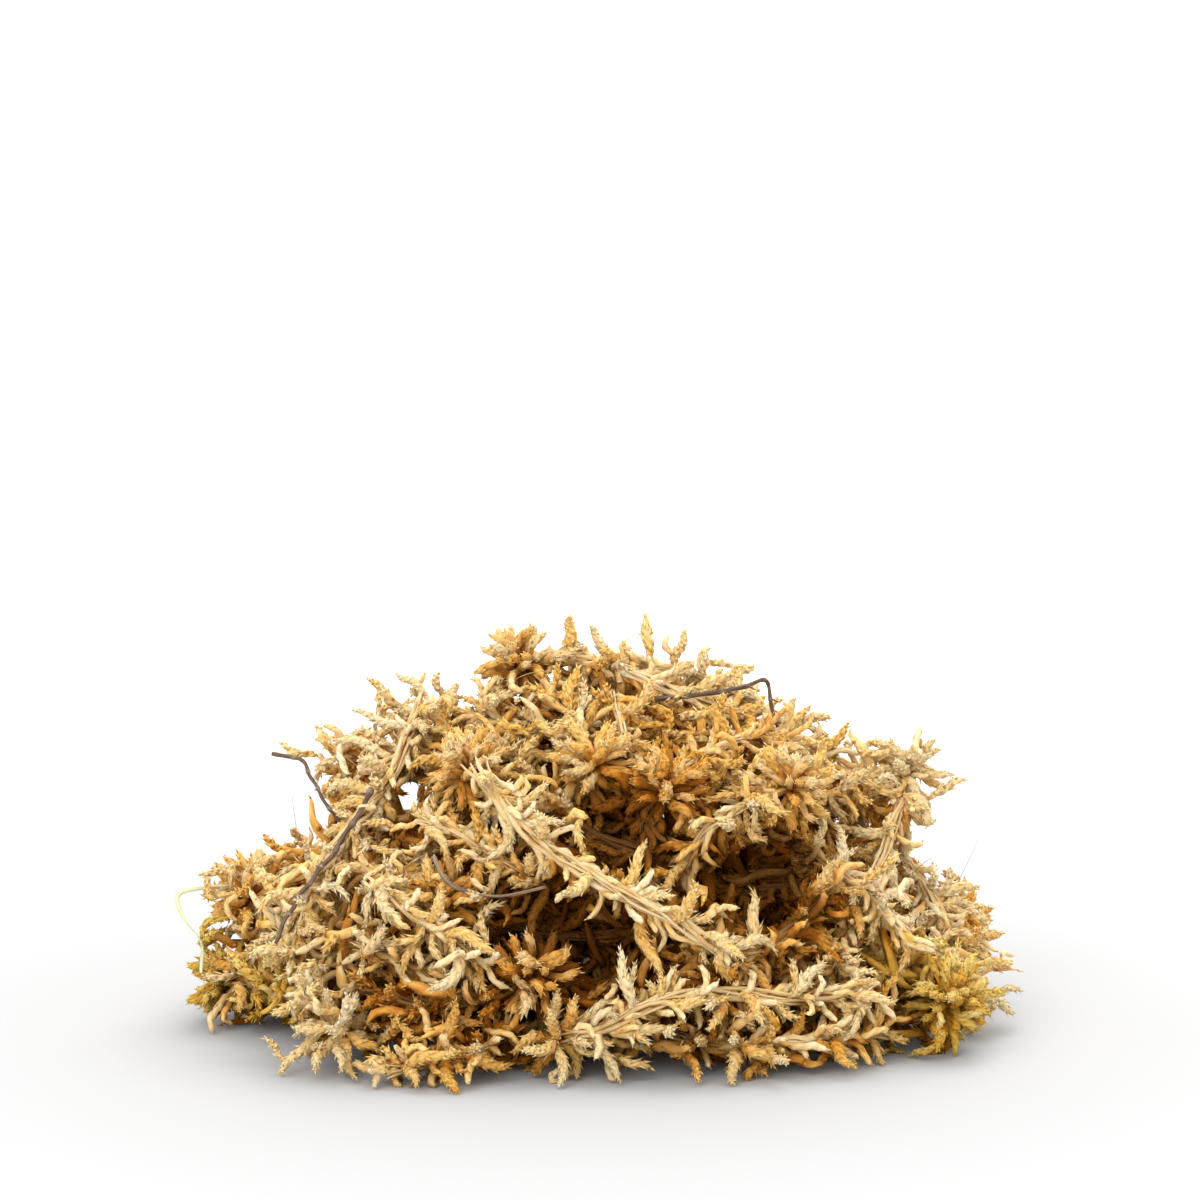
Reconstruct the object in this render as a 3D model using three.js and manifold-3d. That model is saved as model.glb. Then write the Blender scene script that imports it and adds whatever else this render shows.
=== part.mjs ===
// A loose clump of dried long-fibre sphagnum moss, as it lies when it is tipped out on a table.
// Units are millimetres, +Z is up, and the origin is on the table under the middle of the clump.
//
// The clump is a heap of separate strands. A strand is a fibrous stem with spindle-shaped leafy
// branches along it, and some strands end in a head of short, stout branches. A few bare twigs,
// a blade of sedge and a pale filament lie among them. Every strand grew as one piece, so it is
// one solid, and neighbouring strands touch without ever crossing each other.

import * as THREE from "three";
import { mergeVertices } from "three/addons/utils/BufferGeometryUtils.js";
import Module from "manifold-3d";

const wasm = await Module();
wasm.setup();

// Driving dimensions
const STEM_RADIUS = 0.85; // an ordinary stem, half its thickness
const SPRAY_LENGTH = 12; // a leafy branch, from the stem's axis to its tip
const SPRAY_RADIUS = 1.2; // half the thickness of a leafy branch at its widest
const SPRAY_SPACING = 4.9; // along the stem, from one branch to the next
const HEAD_REACH = 8.2; // from the middle of a head to its branch tips
const HEAD_CORE = 3.4; // the closed middle of a head
const HEAD_BRANCHES = 12;
const CLUB_RADIUS = 1.45; // half the thickness of a head's stout branches
const ROOT_DEPTH = 0.6; // how far a branch starts behind its stem's axis
const CLEARANCE = 0.32; // between the solids of two strands that touch
const ROUNDNESS = 0.87; // the mean radius of a limb with few sides, as a share of its radius
const BEAD_STEP = 0.9; // between the beads that stand for a limb where clearances are tested
const STEM_CAP = 0.9; // how far a stem's blunt point reaches past its last ring
const FLOOR_SINK = 0.7; // how deep a limb may be pressed flat on the table
const MIDDLE = [0.3, -2.3, 0]; // moves the routes' frame so that the clump lies evenly about the origin
const GOLDEN_ANGLE = Math.PI * (3 - Math.sqrt(5));

// Colours of the dried moss, with the roughness of each
const TONES = {
  golden: { color: 0xc08a3a, roughness: 0.85 },
  straw: { color: 0xd9bd84, roughness: 0.85 },
  amber: { color: 0xa3672a, roughness: 0.85 },
  olive: { color: 0x9c8a35, roughness: 0.85 },
  bark: { color: 0x4a392b, roughness: 0.7 },
  sedge: { color: 0x7d6a50, roughness: 0.6 },
  lichen: { color: 0xc3cfae, roughness: 0.8 },
};

// Each strand: its colour, the points that its stem passes through, the end that carries a head,
// and the far tips of its longest branches. stem is the stem's radius, and spacing the distance
// between its branches.
const STRANDS = [
  {
    name: "crown_ridge", tone: "golden", head: "start", stem: 1.1,
    route: [
      [-14, -4, 61], [-5, -3, 62], [3, -5, 60], [12, -8, 57], [21, -9, 53], [30, -8, 49], [39, -4, 44],
    ],
    tips: [[-6, -3, 70]],
  },
  {
    name: "left_shoulder", tone: "straw", stem: 1.4,
    route: [
      [-30, -8, 56], [-33, -15, 50], [-36, -22, 43], [-42, -28, 36], [-47, -34, 29], [-50, -38, 22],
      [-51, -40, 16],
    ],
    tips: [[-36, -7, 59], [-43, -12, 53], [-46, -14, 48], [-47, -18, 44]],
  },
  {
    name: "diagonal", tone: "straw", stem: 1.35,
    route: [
      [-20, -37, 48], [-16, -42, 42], [-9, -46, 36], [0, -50, 31], [8, -52, 27], [18, -52, 21],
      [23, -50, 18],
    ],
  },
  {
    name: "front_rope", tone: "straw", stem: 1.25, head: "start", spacing: 3.6,
    route: [
      [-7, -56, 7], [0, -58, 9], [8, -58, 13], [16, -55, 14], [25, -52, 13], [34, -49, 12], [41, -46, 13],
    ],
    tips: [[1, -61, 0], [20, -59, 7]],
  },
  {
    name: "right_tower", tone: "straw", stem: 1.2, head: "start",
    route: [[52, -6, 43], [51, -12, 38], [48, -20, 32], [44, -28, 25], [40, -34, 19], [37, -40, 15]],
    tips: [[46, -6, 48], [55, -5, 49], [59, -8, 37]],
  },
  {
    name: "right_crown_head", tone: "golden", head: "start",
    route: [[31, -34, 44], [24, -39, 42], [17, -41, 38], [13, -38, 31]],
  },
  {
    name: "centre_head", tone: "golden", head: "start",
    route: [[-1, -31, 47], [-3, -25, 51], [-5, -17, 54], [-9, -10, 56]],
  },
  {
    name: "centre_right_head", tone: "amber", head: "start",
    route: [[10, -36, 44], [15, -31, 48], [21, -24, 50], [28, -16, 51]],
  },
  {
    name: "upper_left_head", tone: "golden", head: "start",
    route: [[-22, -30, 46], [-24, -22, 47], [-28, -15, 47], [-36, -12, 46], [-44, -10, 44]],
    tips: [[-47, -8, 49]],
  },
  {
    name: "right_low_head", tone: "olive", head: "start",
    route: [[57, -36, 9], [51, -30, 12], [45, -26, 15], [40, -24, 19]],
    tips: [[53, -41, 0], [58, -42, 0]],
  },
  {
    name: "front_left_head", tone: "amber", head: "end",
    route: [[-39, -44, 13], [-29, -48, 11], [-20, -51, 12], [-11, -52, 16]],
  },
  {
    name: "left_outer_head", tone: "golden", head: "start",
    route: [[-61, -8, 21], [-58, -14, 17], [-59, -18, 12], [-63, -19, 6]],
    tips: [[-68, -6, 27], [-59, -7, 30], [-69, -14, 12]],
  },
  {
    name: "left_lower", tone: "straw", head: "end",
    route: [[-54, -34, 21], [-50, -41, 16], [-46, -47, 11], [-42, -52, 7]],
    tips: [[-53, -52, 0], [-41, -58, 0]],
  },
  {
    name: "crown_back", tone: "straw",
    route: [[-6, 8, 56], [1, 6, 60], [8, 4, 60], [17, 4, 58], [25, 6, 54], [33, 8, 49]],
    tips: [[-1, 3, 67], [14, 3, 67], [19, 5, 63], [25, 6, 60], [34, 8, 54]],
  },
  {
    name: "centre_drape", tone: "amber",
    route: [[2, -12, 57], [3, -20, 54], [4, -27, 49], [6, -33, 43], [7, -38, 37]],
  },
  {
    name: "left_crossbar", tone: "straw",
    route: [[-37, 2, 52], [-28, -4, 53], [-19, -10, 52], [-11, -14, 51], [-4, -18, 49]],
    tips: [[-25, -4, 58]],
  },
  {
    name: "left_mid", tone: "golden", head: "end",
    route: [[-44, -28, 31], [-38, -36, 30], [-32, -41, 28], [-26, -43, 26]],
  },
  {
    name: "left_mid_rope", tone: "straw",
    route: [[-38, -46, 31], [-32, -50, 27], [-26, -52, 23], [-20, -54, 19]],
  },
  {
    name: "left_outer_low", tone: "olive", head: "start",
    route: [[-64, -13, 7], [-58, -24, 8], [-52, -32, 9], [-44, -38, 8]],
    tips: [[-66, -20, 0], [-70, -12, 10]],
  },
  {
    name: "front_left_low", tone: "golden",
    route: [[-34, -60, 2.5], [-27, -58, 3.5], [-20, -57, 5], [-16, -50, 6], [-14, -42, 6]],
    tips: [[-23, -66, 0], [-29, -65, 2]],
  },
  {
    name: "front_right_low", tone: "golden", spacing: 3.6,
    route: [[12, -51, 6], [21, -54, 5], [29, -53, 6], [37, -50, 5], [45, -42, 5]],
    tips: [[28, -61, 0], [20, -60, 0], [38, -57, 2]],
  },
  {
    name: "right_outer", tone: "straw",
    route: [[53, -4, 27], [57, -12, 21], [61, -16, 14], [63, -20, 7]],
    tips: [[69, -12, 14], [72, -15, 10], [69, -22, 2], [66, -6, 20]],
  },
  {
    name: "right_mid", tone: "straw",
    route: [[31, -28, 34], [38, -32, 30], [44, -35, 26], [50, -37, 20]],
  },
  {
    name: "right_centre_amber", tone: "amber", head: "start",
    route: [[21, -49, 17], [27, -46, 20], [33, -42, 24], [38, -37, 28]],
  },
  {
    name: "centre_deep", tone: "amber",
    route: [[-22, -38, 24], [-14, -35, 21], [-5, -33, 19], [5, -32, 20], [14, -30, 23]],
  },
  {
    name: "right_deep", tone: "amber",
    route: [[12, -30, 30], [20, -28, 26], [29, -26, 26], [37, -22, 29], [44, -14, 31]],
  },
  {
    name: "centre_upper", tone: "golden",
    route: [[-19, -16, 50], [-13, -24, 46], [-7, -31, 40], [0, -36, 36], [9, -38, 33]],
  },
  {
    name: "mid_left_hang", tone: "golden",
    route: [[-30, -36, 39], [-23, -40, 37], [-16, -44, 33], [-8, -43, 29]],
    tips: [[-19, -48, 28], [-13, -47, 20]],
  },
  {
    name: "front_left_mid", tone: "straw",
    route: [[-40, -45, 20], [-33, -48, 18], [-26, -50, 16], [-19, -48, 14], [-10, -44, 12]],
  },
  {
    name: "right_shoulder", tone: "golden",
    route: [[28, -22, 46], [35, -20, 42], [41, -14, 39], [45, -6, 37]],
    tips: [[40, -16, 46]],
  },
  // the side away from the viewer
  {
    name: "back_crest", tone: "golden", head: "end",
    route: [[-26, 12, 48], [-14, 18, 52], [-2, 20, 51], [10, 19, 49], [22, 18, 46]],
  },
  {
    name: "back_left_shoulder", tone: "golden", head: "start",
    route: [[-42, 14, 40], [-36, 20, 41], [-28, 25, 41], [-20, 31, 38]],
  },
  {
    name: "back_right_shoulder", tone: "straw", head: "start",
    route: [[46, 14, 36], [39, 20, 37], [31, 24, 38], [22, 28, 37]],
  },
  {
    name: "back_drape_left", tone: "straw", head: "end", stem: 1,
    route: [[-12, 26, 46], [-17, 34, 38], [-23, 41, 29], [-29, 46, 19], [-34, 49, 9]],
  },
  {
    name: "back_drape_middle", tone: "golden", head: "end", stem: 1,
    route: [[6, 27, 44], [5, 35, 36], [3, 42, 27], [-1, 47, 18], [-5, 50, 9]],
  },
  {
    name: "back_drape_right", tone: "amber", head: "end",
    route: [[18, 30, 38], [24, 37, 30], [30, 43, 20], [36, 46, 10]],
  },
  {
    name: "back_low_left", tone: "straw",
    route: [[-64, 8, 5], [-56, 18, 6], [-49, 28, 6], [-44, 38, 5], [-42, 46, 4]],
    tips: [[-70, 4, 8], [-60, 22, 0]],
  },
  {
    name: "back_low_middle", tone: "golden",
    route: [[-24, 50, 3], [-14, 57, 3], [-3, 60, 2], [9, 59, 3], [19, 54, 3], [28, 49, 3]],
    tips: [[-12, 64, 1], [14, 65, 1]],
  },
  {
    name: "back_low_right", tone: "olive", head: "end",
    route: [[30, 36, 5], [40, 34, 7], [50, 29, 8], [58, 22, 8]],
    tips: [[66, 26, 0]],
  },
  {
    name: "left_side", tone: "amber", head: "start",
    route: [[-60, 8, 19], [-53, 12, 24], [-46, 9, 30], [-40, 4, 35]],
  },
  {
    name: "right_side", tone: "golden", head: "start",
    route: [[62, 5, 14], [57, 10, 20], [51, 9, 26], [45, 6, 30]],
    tips: [[70, 8, 9]],
  },
  {
    name: "back_mid_left", tone: "amber",
    route: [[-54, 22, 15], [-46, 28, 21], [-37, 31, 26], [-27, 33, 27], [-16, 33, 26]],
  },
  {
    name: "back_mid_right", tone: "straw",
    route: [[54, 18, 20], [46, 26, 23], [38, 31, 23], [28, 32, 25], [17, 33, 25]],
  },
  // under the others, where the heap is pressed together
  {
    name: "bed_middle", tone: "amber", stem: 1.3, spacing: 8.5,
    route: [[-30, -10, 3], [-18, -3, 0.6], [-6, 0, 0.6], [6, 0, 0.6], [18, -3, 0.6], [30, -12, 3]],
  },
  {
    name: "bed_left", tone: "amber", spacing: 8.5,
    route: [[-52, 2, 5], [-42, 10, 4], [-32, 18, 5], [-22, 28, 6], [-12, 38, 6]],
  },
  {
    name: "bed_right", tone: "amber", spacing: 8.5,
    route: [[50, -6, 6], [40, 6, 5], [30, 16, 6], [20, 26, 7], [10, 36, 7]],
  },
  {
    name: "inner_low", tone: "amber", spacing: 8.5,
    route: [[-40, -20, 16], [-26, -16, 13], [-12, -14, 12], [2, -16, 13], [16, -14, 12], [28, -18, 14]],
  },
  {
    name: "inner_back", tone: "amber", spacing: 8.5,
    route: [[-34, 12, 22], [-20, 18, 20], [-6, 20, 18], [8, 20, 20], [22, 16, 22], [34, 8, 24]],
  },
  {
    name: "inner_middle", tone: "amber", spacing: 8.5,
    route: [[-36, -8, 34], [-24, -4, 34], [-12, -2, 32], [0, -4, 33], [12, -6, 34], [24, -6, 36]],
  },
  {
    name: "inner_crest", tone: "amber", spacing: 8.5,
    route: [[-20, 6, 46], [-10, 8, 44], [2, 4, 45], [13, 5, 46], [24, 4, 43], [34, 2, 39]],
  },
  // bare stray pieces
  {
    name: "twig_long", tone: "bark", stem: 0.55, bare: true,
    route: [[9, -12, 56], [17, -14, 57], [24, -12, 58], [28, -11, 59], [29, -11, 54], [30, -10, 51]],
  },
  {
    name: "twig_out", tone: "bark", stem: 0.5, bare: true,
    route: [[-56, -15, 47], [-51, -16, 46], [-49, -18, 43], [-47, -20, 40], [-44, -22, 36]],
  },
  {
    name: "twig_bent", tone: "bark", stem: 0.6, bare: true,
    route: [[-38, -29, 43], [-43, -36, 35], [-47, -40, 30], [-50, -43, 26], [-53, -44, 20]],
  },
  {
    name: "twig_short", tone: "bark", stem: 0.5, bare: true,
    route: [[-14, -7, 56], [-11, -11, 53], [-8, -14, 47]],
  },
  {
    name: "filament", tone: "lichen", stem: 0.45, bare: true,
    route: [[-64, -13, 24], [-72, -15, 23], [-71, -17, 19], [-68, -18, 15], [-68, -19, 10]],
  },
  {
    name: "sedge_blade", tone: "sedge", stem: 0.8, bare: true,
    route: [[-27, -48, 35], [-24, -51, 31], [-17, -51, 29], [-9, -48, 30]],
  },
];

const vector = (point) => new THREE.Vector3(...point);

const between = (low, high, share) => low + (high - low) * share;

// A number from 0 to 1 that depends only on its arguments, so that every run grows the same clump
function chance(strand, place, draw) {
  const wave = Math.sin(strand * 127.1 + place * 311.7 + draw * 74.7) * 43758.5453;
  return wave - Math.floor(wave);
}

// Two directions square to the given one
function across(direction) {
  const up = Math.abs(direction.z) > 0.9 ? new THREE.Vector3(1, 0, 0) : new THREE.Vector3(0, 0, 1);
  const side = new THREE.Vector3().crossVectors(direction, up).normalize();
  return [side, new THREE.Vector3().crossVectors(side, direction)];
}

// A limb is a stem or a branch: the middle points of its rings, and the radius at each ring.
// A profile gives a branch's rings as pairs of the place along it and the share of its radius.
const SPRAY_PROFILE = [[0, 0], [0.42, 1], [1, 0]];
const CLUB_PROFILE = [[0, 0], [0.74, 1], [1, 0]];
const LONG_PROFILE = [[0, 0], [0.3, 1], [0.66, 0.8], [1, 0]];

function branch(root, knee, tip, radius, profile) {
  const curve = new THREE.QuadraticBezierCurve3(root, knee, tip);
  return {
    points: profile.map(([place]) => curve.getPoint(place)),
    radii: profile.map(([, share]) => radius * share),
  };
}

const stemRadius = (strand) => strand.stem ?? STEM_RADIUS;

function stemLimb(strand) {
  const curve = new THREE.CatmullRomCurve3(strand.points, false, "catmullrom", 0.5);
  const rings = (strand.points.length - 1) * (strand.bare ? 2 : 1);
  const points = Array.from({ length: rings + 1 }, (_, ring) => curve.getPoint(ring / rings));
  const radii = points.map(() => stemRadius(strand));
  const beyond = (end, before) => end.clone().addScaledVector(end.clone().sub(before).normalize(), STEM_CAP);
  const first = beyond(points[0], points[1]);
  const last = beyond(points.at(-1), points.at(-2));
  return { points: [first, ...points, last], radii: [0, ...radii, 0] };
}

// The point of a stem at a share t of the way along it, and the way it runs there
function stemAt(strand, t) {
  const { points } = strand.limb;
  const place = 1 + Math.min(t, 0.9999) * (points.length - 3);
  const ring = Math.floor(place);
  const forward = points[ring + 1].clone().sub(points[ring]);
  const point = points[ring].clone().addScaledVector(forward, place - ring);
  return { point, forward: forward.normalize() };
}

const headPoint = (strand) => (strand.head === "start" ? strand.points[0] : strand.points.at(-1));

// Room taken: beads strung along every limb, which keep the strands clear of each other. The
// outer beads of a branch are free, and keep clear of the free beads of their own strand too.
const room = [];

function beadsOn(limb, owner, freeFrom) {
  const beads = [];
  for (let ring = 1; ring < limb.points.length; ring += 1) {
    const start = limb.points[ring - 1];
    const span = limb.points[ring].clone().sub(start);
    const steps = Math.ceil(span.length() / BEAD_STEP);
    for (let step = 1; step <= steps; step += 1) {
      const share = step / steps;
      const place = (ring - 1 + share) / (limb.points.length - 1);
      beads.push({
        owner,
        place,
        point: start.clone().addScaledVector(span, share),
        radius: ROUNDNESS * between(limb.radii[ring - 1], limb.radii[ring], share),
        free: place > freeFrom,
      });
    }
  }
  return beads;
}

function deepestClash(beads) {
  let worst = null;
  for (const bead of beads) {
    for (const other of room) {
      if (other.owner === bead.owner && !(bead.free && other.free)) continue;
      const reach = bead.radius + other.radius + CLEARANCE;
      if (Math.abs(bead.point.x - other.point.x) > reach) continue;
      const depth = reach - bead.point.distanceTo(other.point);
      if (depth > 0 && (!worst || depth > worst.depth)) worst = { bead, other, depth };
    }
  }
  return worst;
}

// Bends a stem clear of the stems laid before it, one route point at a time
function layStem(strand, index) {
  strand.points = strand.route.map(vector);
  strand.branches = [];
  for (let turn = 0; turn < 300; turn += 1) {
    strand.limb = stemLimb(strand);
    strand.beads = beadsOn(strand.limb, index, 1);
    if (strand.head) {
      const place = strand.head === "start" ? 0 : 1;
      const radius = HEAD_CORE + 1;
      strand.beads.push({ owner: index, place, point: headPoint(strand), radius, head: true });
    }
    const clash = deepestClash(strand.beads);
    if (!clash) break;
    const away = clash.bead.point.clone().sub(clash.other.point).normalize();
    const moved = strand.points[Math.round(clash.bead.place * (strand.points.length - 1))];
    moved.addScaledVector(away, clash.depth + 0.05);
    moved.z = Math.max(moved.z, stemRadius(strand) - FLOOR_SINK);
  }
  room.push(...strand.beads);
}

// Grows the branch where it is clear of the other strands and of the table, and says if it did
function settle(strand, index, limb) {
  const beads = beadsOn(limb, index, 0.5);
  if (beads.some((bead) => bead.point.z < bead.radius - FLOOR_SINK)) return false;
  if (deepestClash(beads)) return false;
  strand.branches.push(limb);
  room.push(...beads);
  return true;
}

// A branch leans from the middle stretch of one stem against that of another
const isSeat = (bead) => !bead.head && bead.place > 0.2 && bead.place < 0.8;

// Where the stems of two strands come nearest, the closest places first
function meetings(strand, other) {
  const found = [];
  for (const from of strand.beads.filter((bead, order) => isSeat(bead) && order % 2 === 0)) {
    let nearest = null;
    for (const to of other.beads.filter(isSeat)) {
      const gap = from.point.distanceTo(to.point) - to.radius;
      if (!nearest || gap < nearest.gap) nearest = { from, to, gap };
    }
    found.push(nearest);
  }
  return found.sort((a, b) => a.gap - b.gap);
}

// A branch that leans from one strand against the stem of another, as close as touching
function lean(index, meeting) {
  const span = meeting.to.point.clone().sub(meeting.from.point);
  const shortfall = meeting.to.radius + CLEARANCE + 0.01;
  const tip = meeting.to.point.clone().addScaledVector(span.normalize(), -shortfall);
  const length = tip.distanceTo(meeting.from.point);
  const root = meeting.from.point.clone().addScaledVector(span, -ROOT_DEPTH);
  const [side, lift] = across(span);
  for (let attempt = 0; attempt < 8; attempt += 1) {
    const sway = side.clone().multiplyScalar(Math.cos(attempt)).addScaledVector(lift, Math.sin(attempt));
    const knee = meeting.from.point.clone().addScaledVector(span, length * 0.5)
      .addScaledVector(sway, 0.25 * length * (1 - attempt / 8));
    const profile = length > 9 ? LONG_PROFILE : SPRAY_PROFILE;
    const limb = branch(root, knee, tip, SPRAY_RADIUS * 0.9, profile);
    if (settle(STRANDS[index], index, limb)) return true;
  }
  return false;
}

// Links the strands into one heap: time after time, the loose strand that lies nearest to the
// linked ones is linked by a leaning branch, which grows on it, or on its neighbour where it is bare
function linkStrands() {
  const linked = new Set([0]);
  while (linked.size < STRANDS.length) {
    const choices = [];
    STRANDS.forEach((strand, index) => {
      if (linked.has(index)) return;
      for (const other of linked) {
        if (strand.bare && STRANDS[other].bare) continue;
        const [grower, carrier] = strand.bare ? [other, index] : [index, other];
        const ways = meetings(STRANDS[grower], STRANDS[carrier]).slice(0, 6);
        for (const way of ways) choices.push({ index, grower, way });
      }
    });
    choices.sort((a, b) => a.way.gap - b.way.gap);
    const chosen = choices.find((choice) => lean(choice.grower, choice.way));
    if (!chosen) break;
    linked.add(chosen.index);
  }
}

// Short stout branches all round the end of the stem
function growHead(strand, index) {
  if (!strand.head) return;
  const end = stemAt(strand, strand.head === "start" ? 0 : 1);
  const outward = end.forward.multiplyScalar(strand.head === "start" ? -1 : 1);
  const [side, lift] = across(outward);
  for (let place = 0; place < HEAD_BRANCHES; place += 1) {
    for (let attempt = 0; attempt < 6; attempt += 1) {
      const draw = (k) => chance(index + 0.5, place, attempt * 7 + k);
      const along = between(0.97, -0.72, (place + 0.5) / HEAD_BRANCHES);
      const turn = place * GOLDEN_ANGLE + attempt * (draw(0) - 0.5);
      const wide = Math.sqrt(1 - along * along);
      const heading = outward.clone().multiplyScalar(along)
        .addScaledVector(side, wide * Math.cos(turn)).addScaledVector(lift, wide * Math.sin(turn));
      const sway = new THREE.Vector3(draw(1) - 0.5, draw(2) - 0.5, draw(3) - 0.5);
      const turned = heading.clone().addScaledVector(sway, 0.9).normalize();
      const half = 0.5 * HEAD_REACH * between(0.88, 1.12, draw(4)) * between(1, 0.82, attempt / 5);
      const root = headPoint(strand);
      const knee = root.clone().addScaledVector(heading, half);
      const tip = knee.clone().addScaledVector(turned, half);
      if (settle(strand, index, branch(root, knee, tip, CLUB_RADIUS, CLUB_PROFILE))) break;
    }
  }
}

// The longest branches, each from the nearest point of the stem to its given tip
function growTips(strand, index) {
  for (const tip of (strand.tips ?? []).map(vector)) {
    const places = Array.from({ length: 41 }, (_, step) => stemAt(strand, step / 40).point);
    const nearer = (best, point) => (point.distanceTo(tip) < best.distanceTo(tip) ? point : best);
    const root = places.reduce(nearer);
    const span = tip.clone().sub(root);
    for (const rise of [0.16, 0.3, -0.1, 0]) {
      const knee = root.clone().addScaledVector(span, 0.5);
      knee.z += rise * span.length();
      if (settle(strand, index, branch(root, knee, tip, SPRAY_RADIUS, LONG_PROFILE))) break;
    }
  }
}

// Leafy branches along the stem, turned by the golden angle from one to the next
function growSprays(strand, index) {
  if (strand.bare) return;
  const length = new THREE.CatmullRomCurve3(strand.points).getLength();
  const count = Math.round(length / (strand.spacing ?? SPRAY_SPACING));
  for (let place = 0; place < count; place += 1) {
    const { point, forward } = stemAt(strand, (place + 0.5) / count);
    const [side, lift] = across(forward);
    for (let attempt = 0; attempt < 10; attempt += 1) {
      const draw = (k) => chance(index, place, attempt * 7 + k);
      const turn = place * GOLDEN_ANGLE + attempt * 1.9 + draw(0) * 0.6;
      const spread = between(0.75, 1.35, draw(1));
      const outward = side.clone().multiplyScalar(Math.cos(turn)).addScaledVector(lift, Math.sin(turn));
      const heading = forward.clone().multiplyScalar(Math.cos(spread));
      heading.addScaledVector(outward, Math.sin(spread));
      const sway = new THREE.Vector3(draw(2) - 0.5, draw(3) - 0.5, draw(4) - 0.6);
      const turned = heading.clone().addScaledVector(sway, 1.9).normalize();
      const half = 0.5 * SPRAY_LENGTH * between(0.75, 1.15, draw(5)) * between(1, 0.6, attempt / 9);
      const root = point.clone().addScaledVector(heading, -ROOT_DEPTH);
      const knee = root.clone().addScaledVector(heading, half);
      const tip = knee.clone().addScaledVector(turned, half);
      const radius = SPRAY_RADIUS * between(0.85, 1.1, draw(6));
      if (settle(strand, index, branch(root, knee, tip, radius, SPRAY_PROFILE))) break;
    }
  }
}

const withoutExtras = (geometry) => geometry.deleteAttribute("normal").deleteAttribute("uv");

// The closed skin of a limb: the rows of a sphere, moved to the limb's rings
function limbGeometry({ points, radii }, sides) {
  const geometry = withoutExtras(new THREE.SphereGeometry(1, sides, points.length - 1));
  const place = geometry.attributes.position;
  let normal = across(points[1].clone().sub(points[0]).normalize())[0];
  points.forEach((point, row) => {
    const before = points[Math.max(row - 1, 0)];
    const tangent = points[Math.min(row + 1, points.length - 1)].clone().sub(before).normalize();
    normal = normal.addScaledVector(tangent, -normal.dot(tangent)).normalize();
    const binormal = new THREE.Vector3().crossVectors(tangent, normal);
    for (let column = 0; column <= sides; column += 1) {
      const angle = (-2 * Math.PI * (column % sides)) / sides;
      const rim = point.clone().addScaledVector(normal, radii[row] * Math.cos(angle))
        .addScaledVector(binormal, radii[row] * Math.sin(angle));
      place.setXYZ(row * (sides + 1) + column, rim.x, rim.y, rim.z);
    }
  });
  return geometry;
}

function solidOf(geometry) {
  const merged = mergeVertices(geometry, 1e-5);
  return new wasm.Manifold(new wasm.Mesh({
    numProp: 3,
    vertProperties: new Float32Array(merged.attributes.position.array),
    triVerts: new Uint32Array(merged.index.array),
  }));
}

const table = solidOf(withoutExtras(new THREE.BoxGeometry(400, 400, 40).translate(0, 0, -20)));

// One closed body: the limbs joined and pressed flat where they meet the table. The largest
// piece is the whole outside, so any sealed hollow between the limbs is filled.
function strandSolid(strand) {
  let whole = solidOf(limbGeometry(strand.limb, 4));
  if (strand.head) {
    const core = withoutExtras(new THREE.IcosahedronGeometry(HEAD_CORE, 0));
    whole = whole.add(solidOf(core.translate(...headPoint(strand).toArray())));
  }
  for (const limb of strand.branches) whole = whole.add(solidOf(limbGeometry(limb, 3)));
  const pieces = whole.subtract(table).decompose();
  return pieces.reduce((best, piece) => (piece.volume() > best.volume() ? piece : best));
}

function meshOf(strand) {
  const { vertProperties, triVerts } = strandSolid(strand).getMesh();
  const geometry = new THREE.BufferGeometry();
  geometry.setAttribute("position", new THREE.BufferAttribute(new Float32Array(vertProperties), 3));
  geometry.setIndex(new THREE.BufferAttribute(new Uint32Array(triVerts), 1));
  geometry.computeVertexNormals();
  const material = new THREE.MeshStandardMaterial({ ...TONES[strand.tone], metalness: 0 });
  const mesh = new THREE.Mesh(geometry, material);
  mesh.name = strand.name;
  return mesh;
}

STRANDS.forEach(layStem);
linkStrands();
STRANDS.forEach(growHead);
STRANDS.forEach(growTips);
STRANDS.forEach(growSprays);

const group = new THREE.Group();
group.position.set(...MIDDLE);
for (const strand of STRANDS) group.add(meshOf(strand));

export default group;
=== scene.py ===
"""A loose clump of dried long-fibre sphagnum moss, dressed with its fine leaves and fibres.

Every strand of the frame is replaced by a finer one that keeps its route and its branches. Its
stem becomes a bundle of twisted fibres, and each branch a core clad in overlapping pointed leaves.
Lengths are in millimetres while the strands are laid out, and in metres in the finished meshes.
"""

import functools
import math
import random

import bmesh
import bpy
import numpy as np
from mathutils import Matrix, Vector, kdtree
from bpy.props import FloatProperty, FloatVectorProperty, IntProperty, PointerProperty


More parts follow.
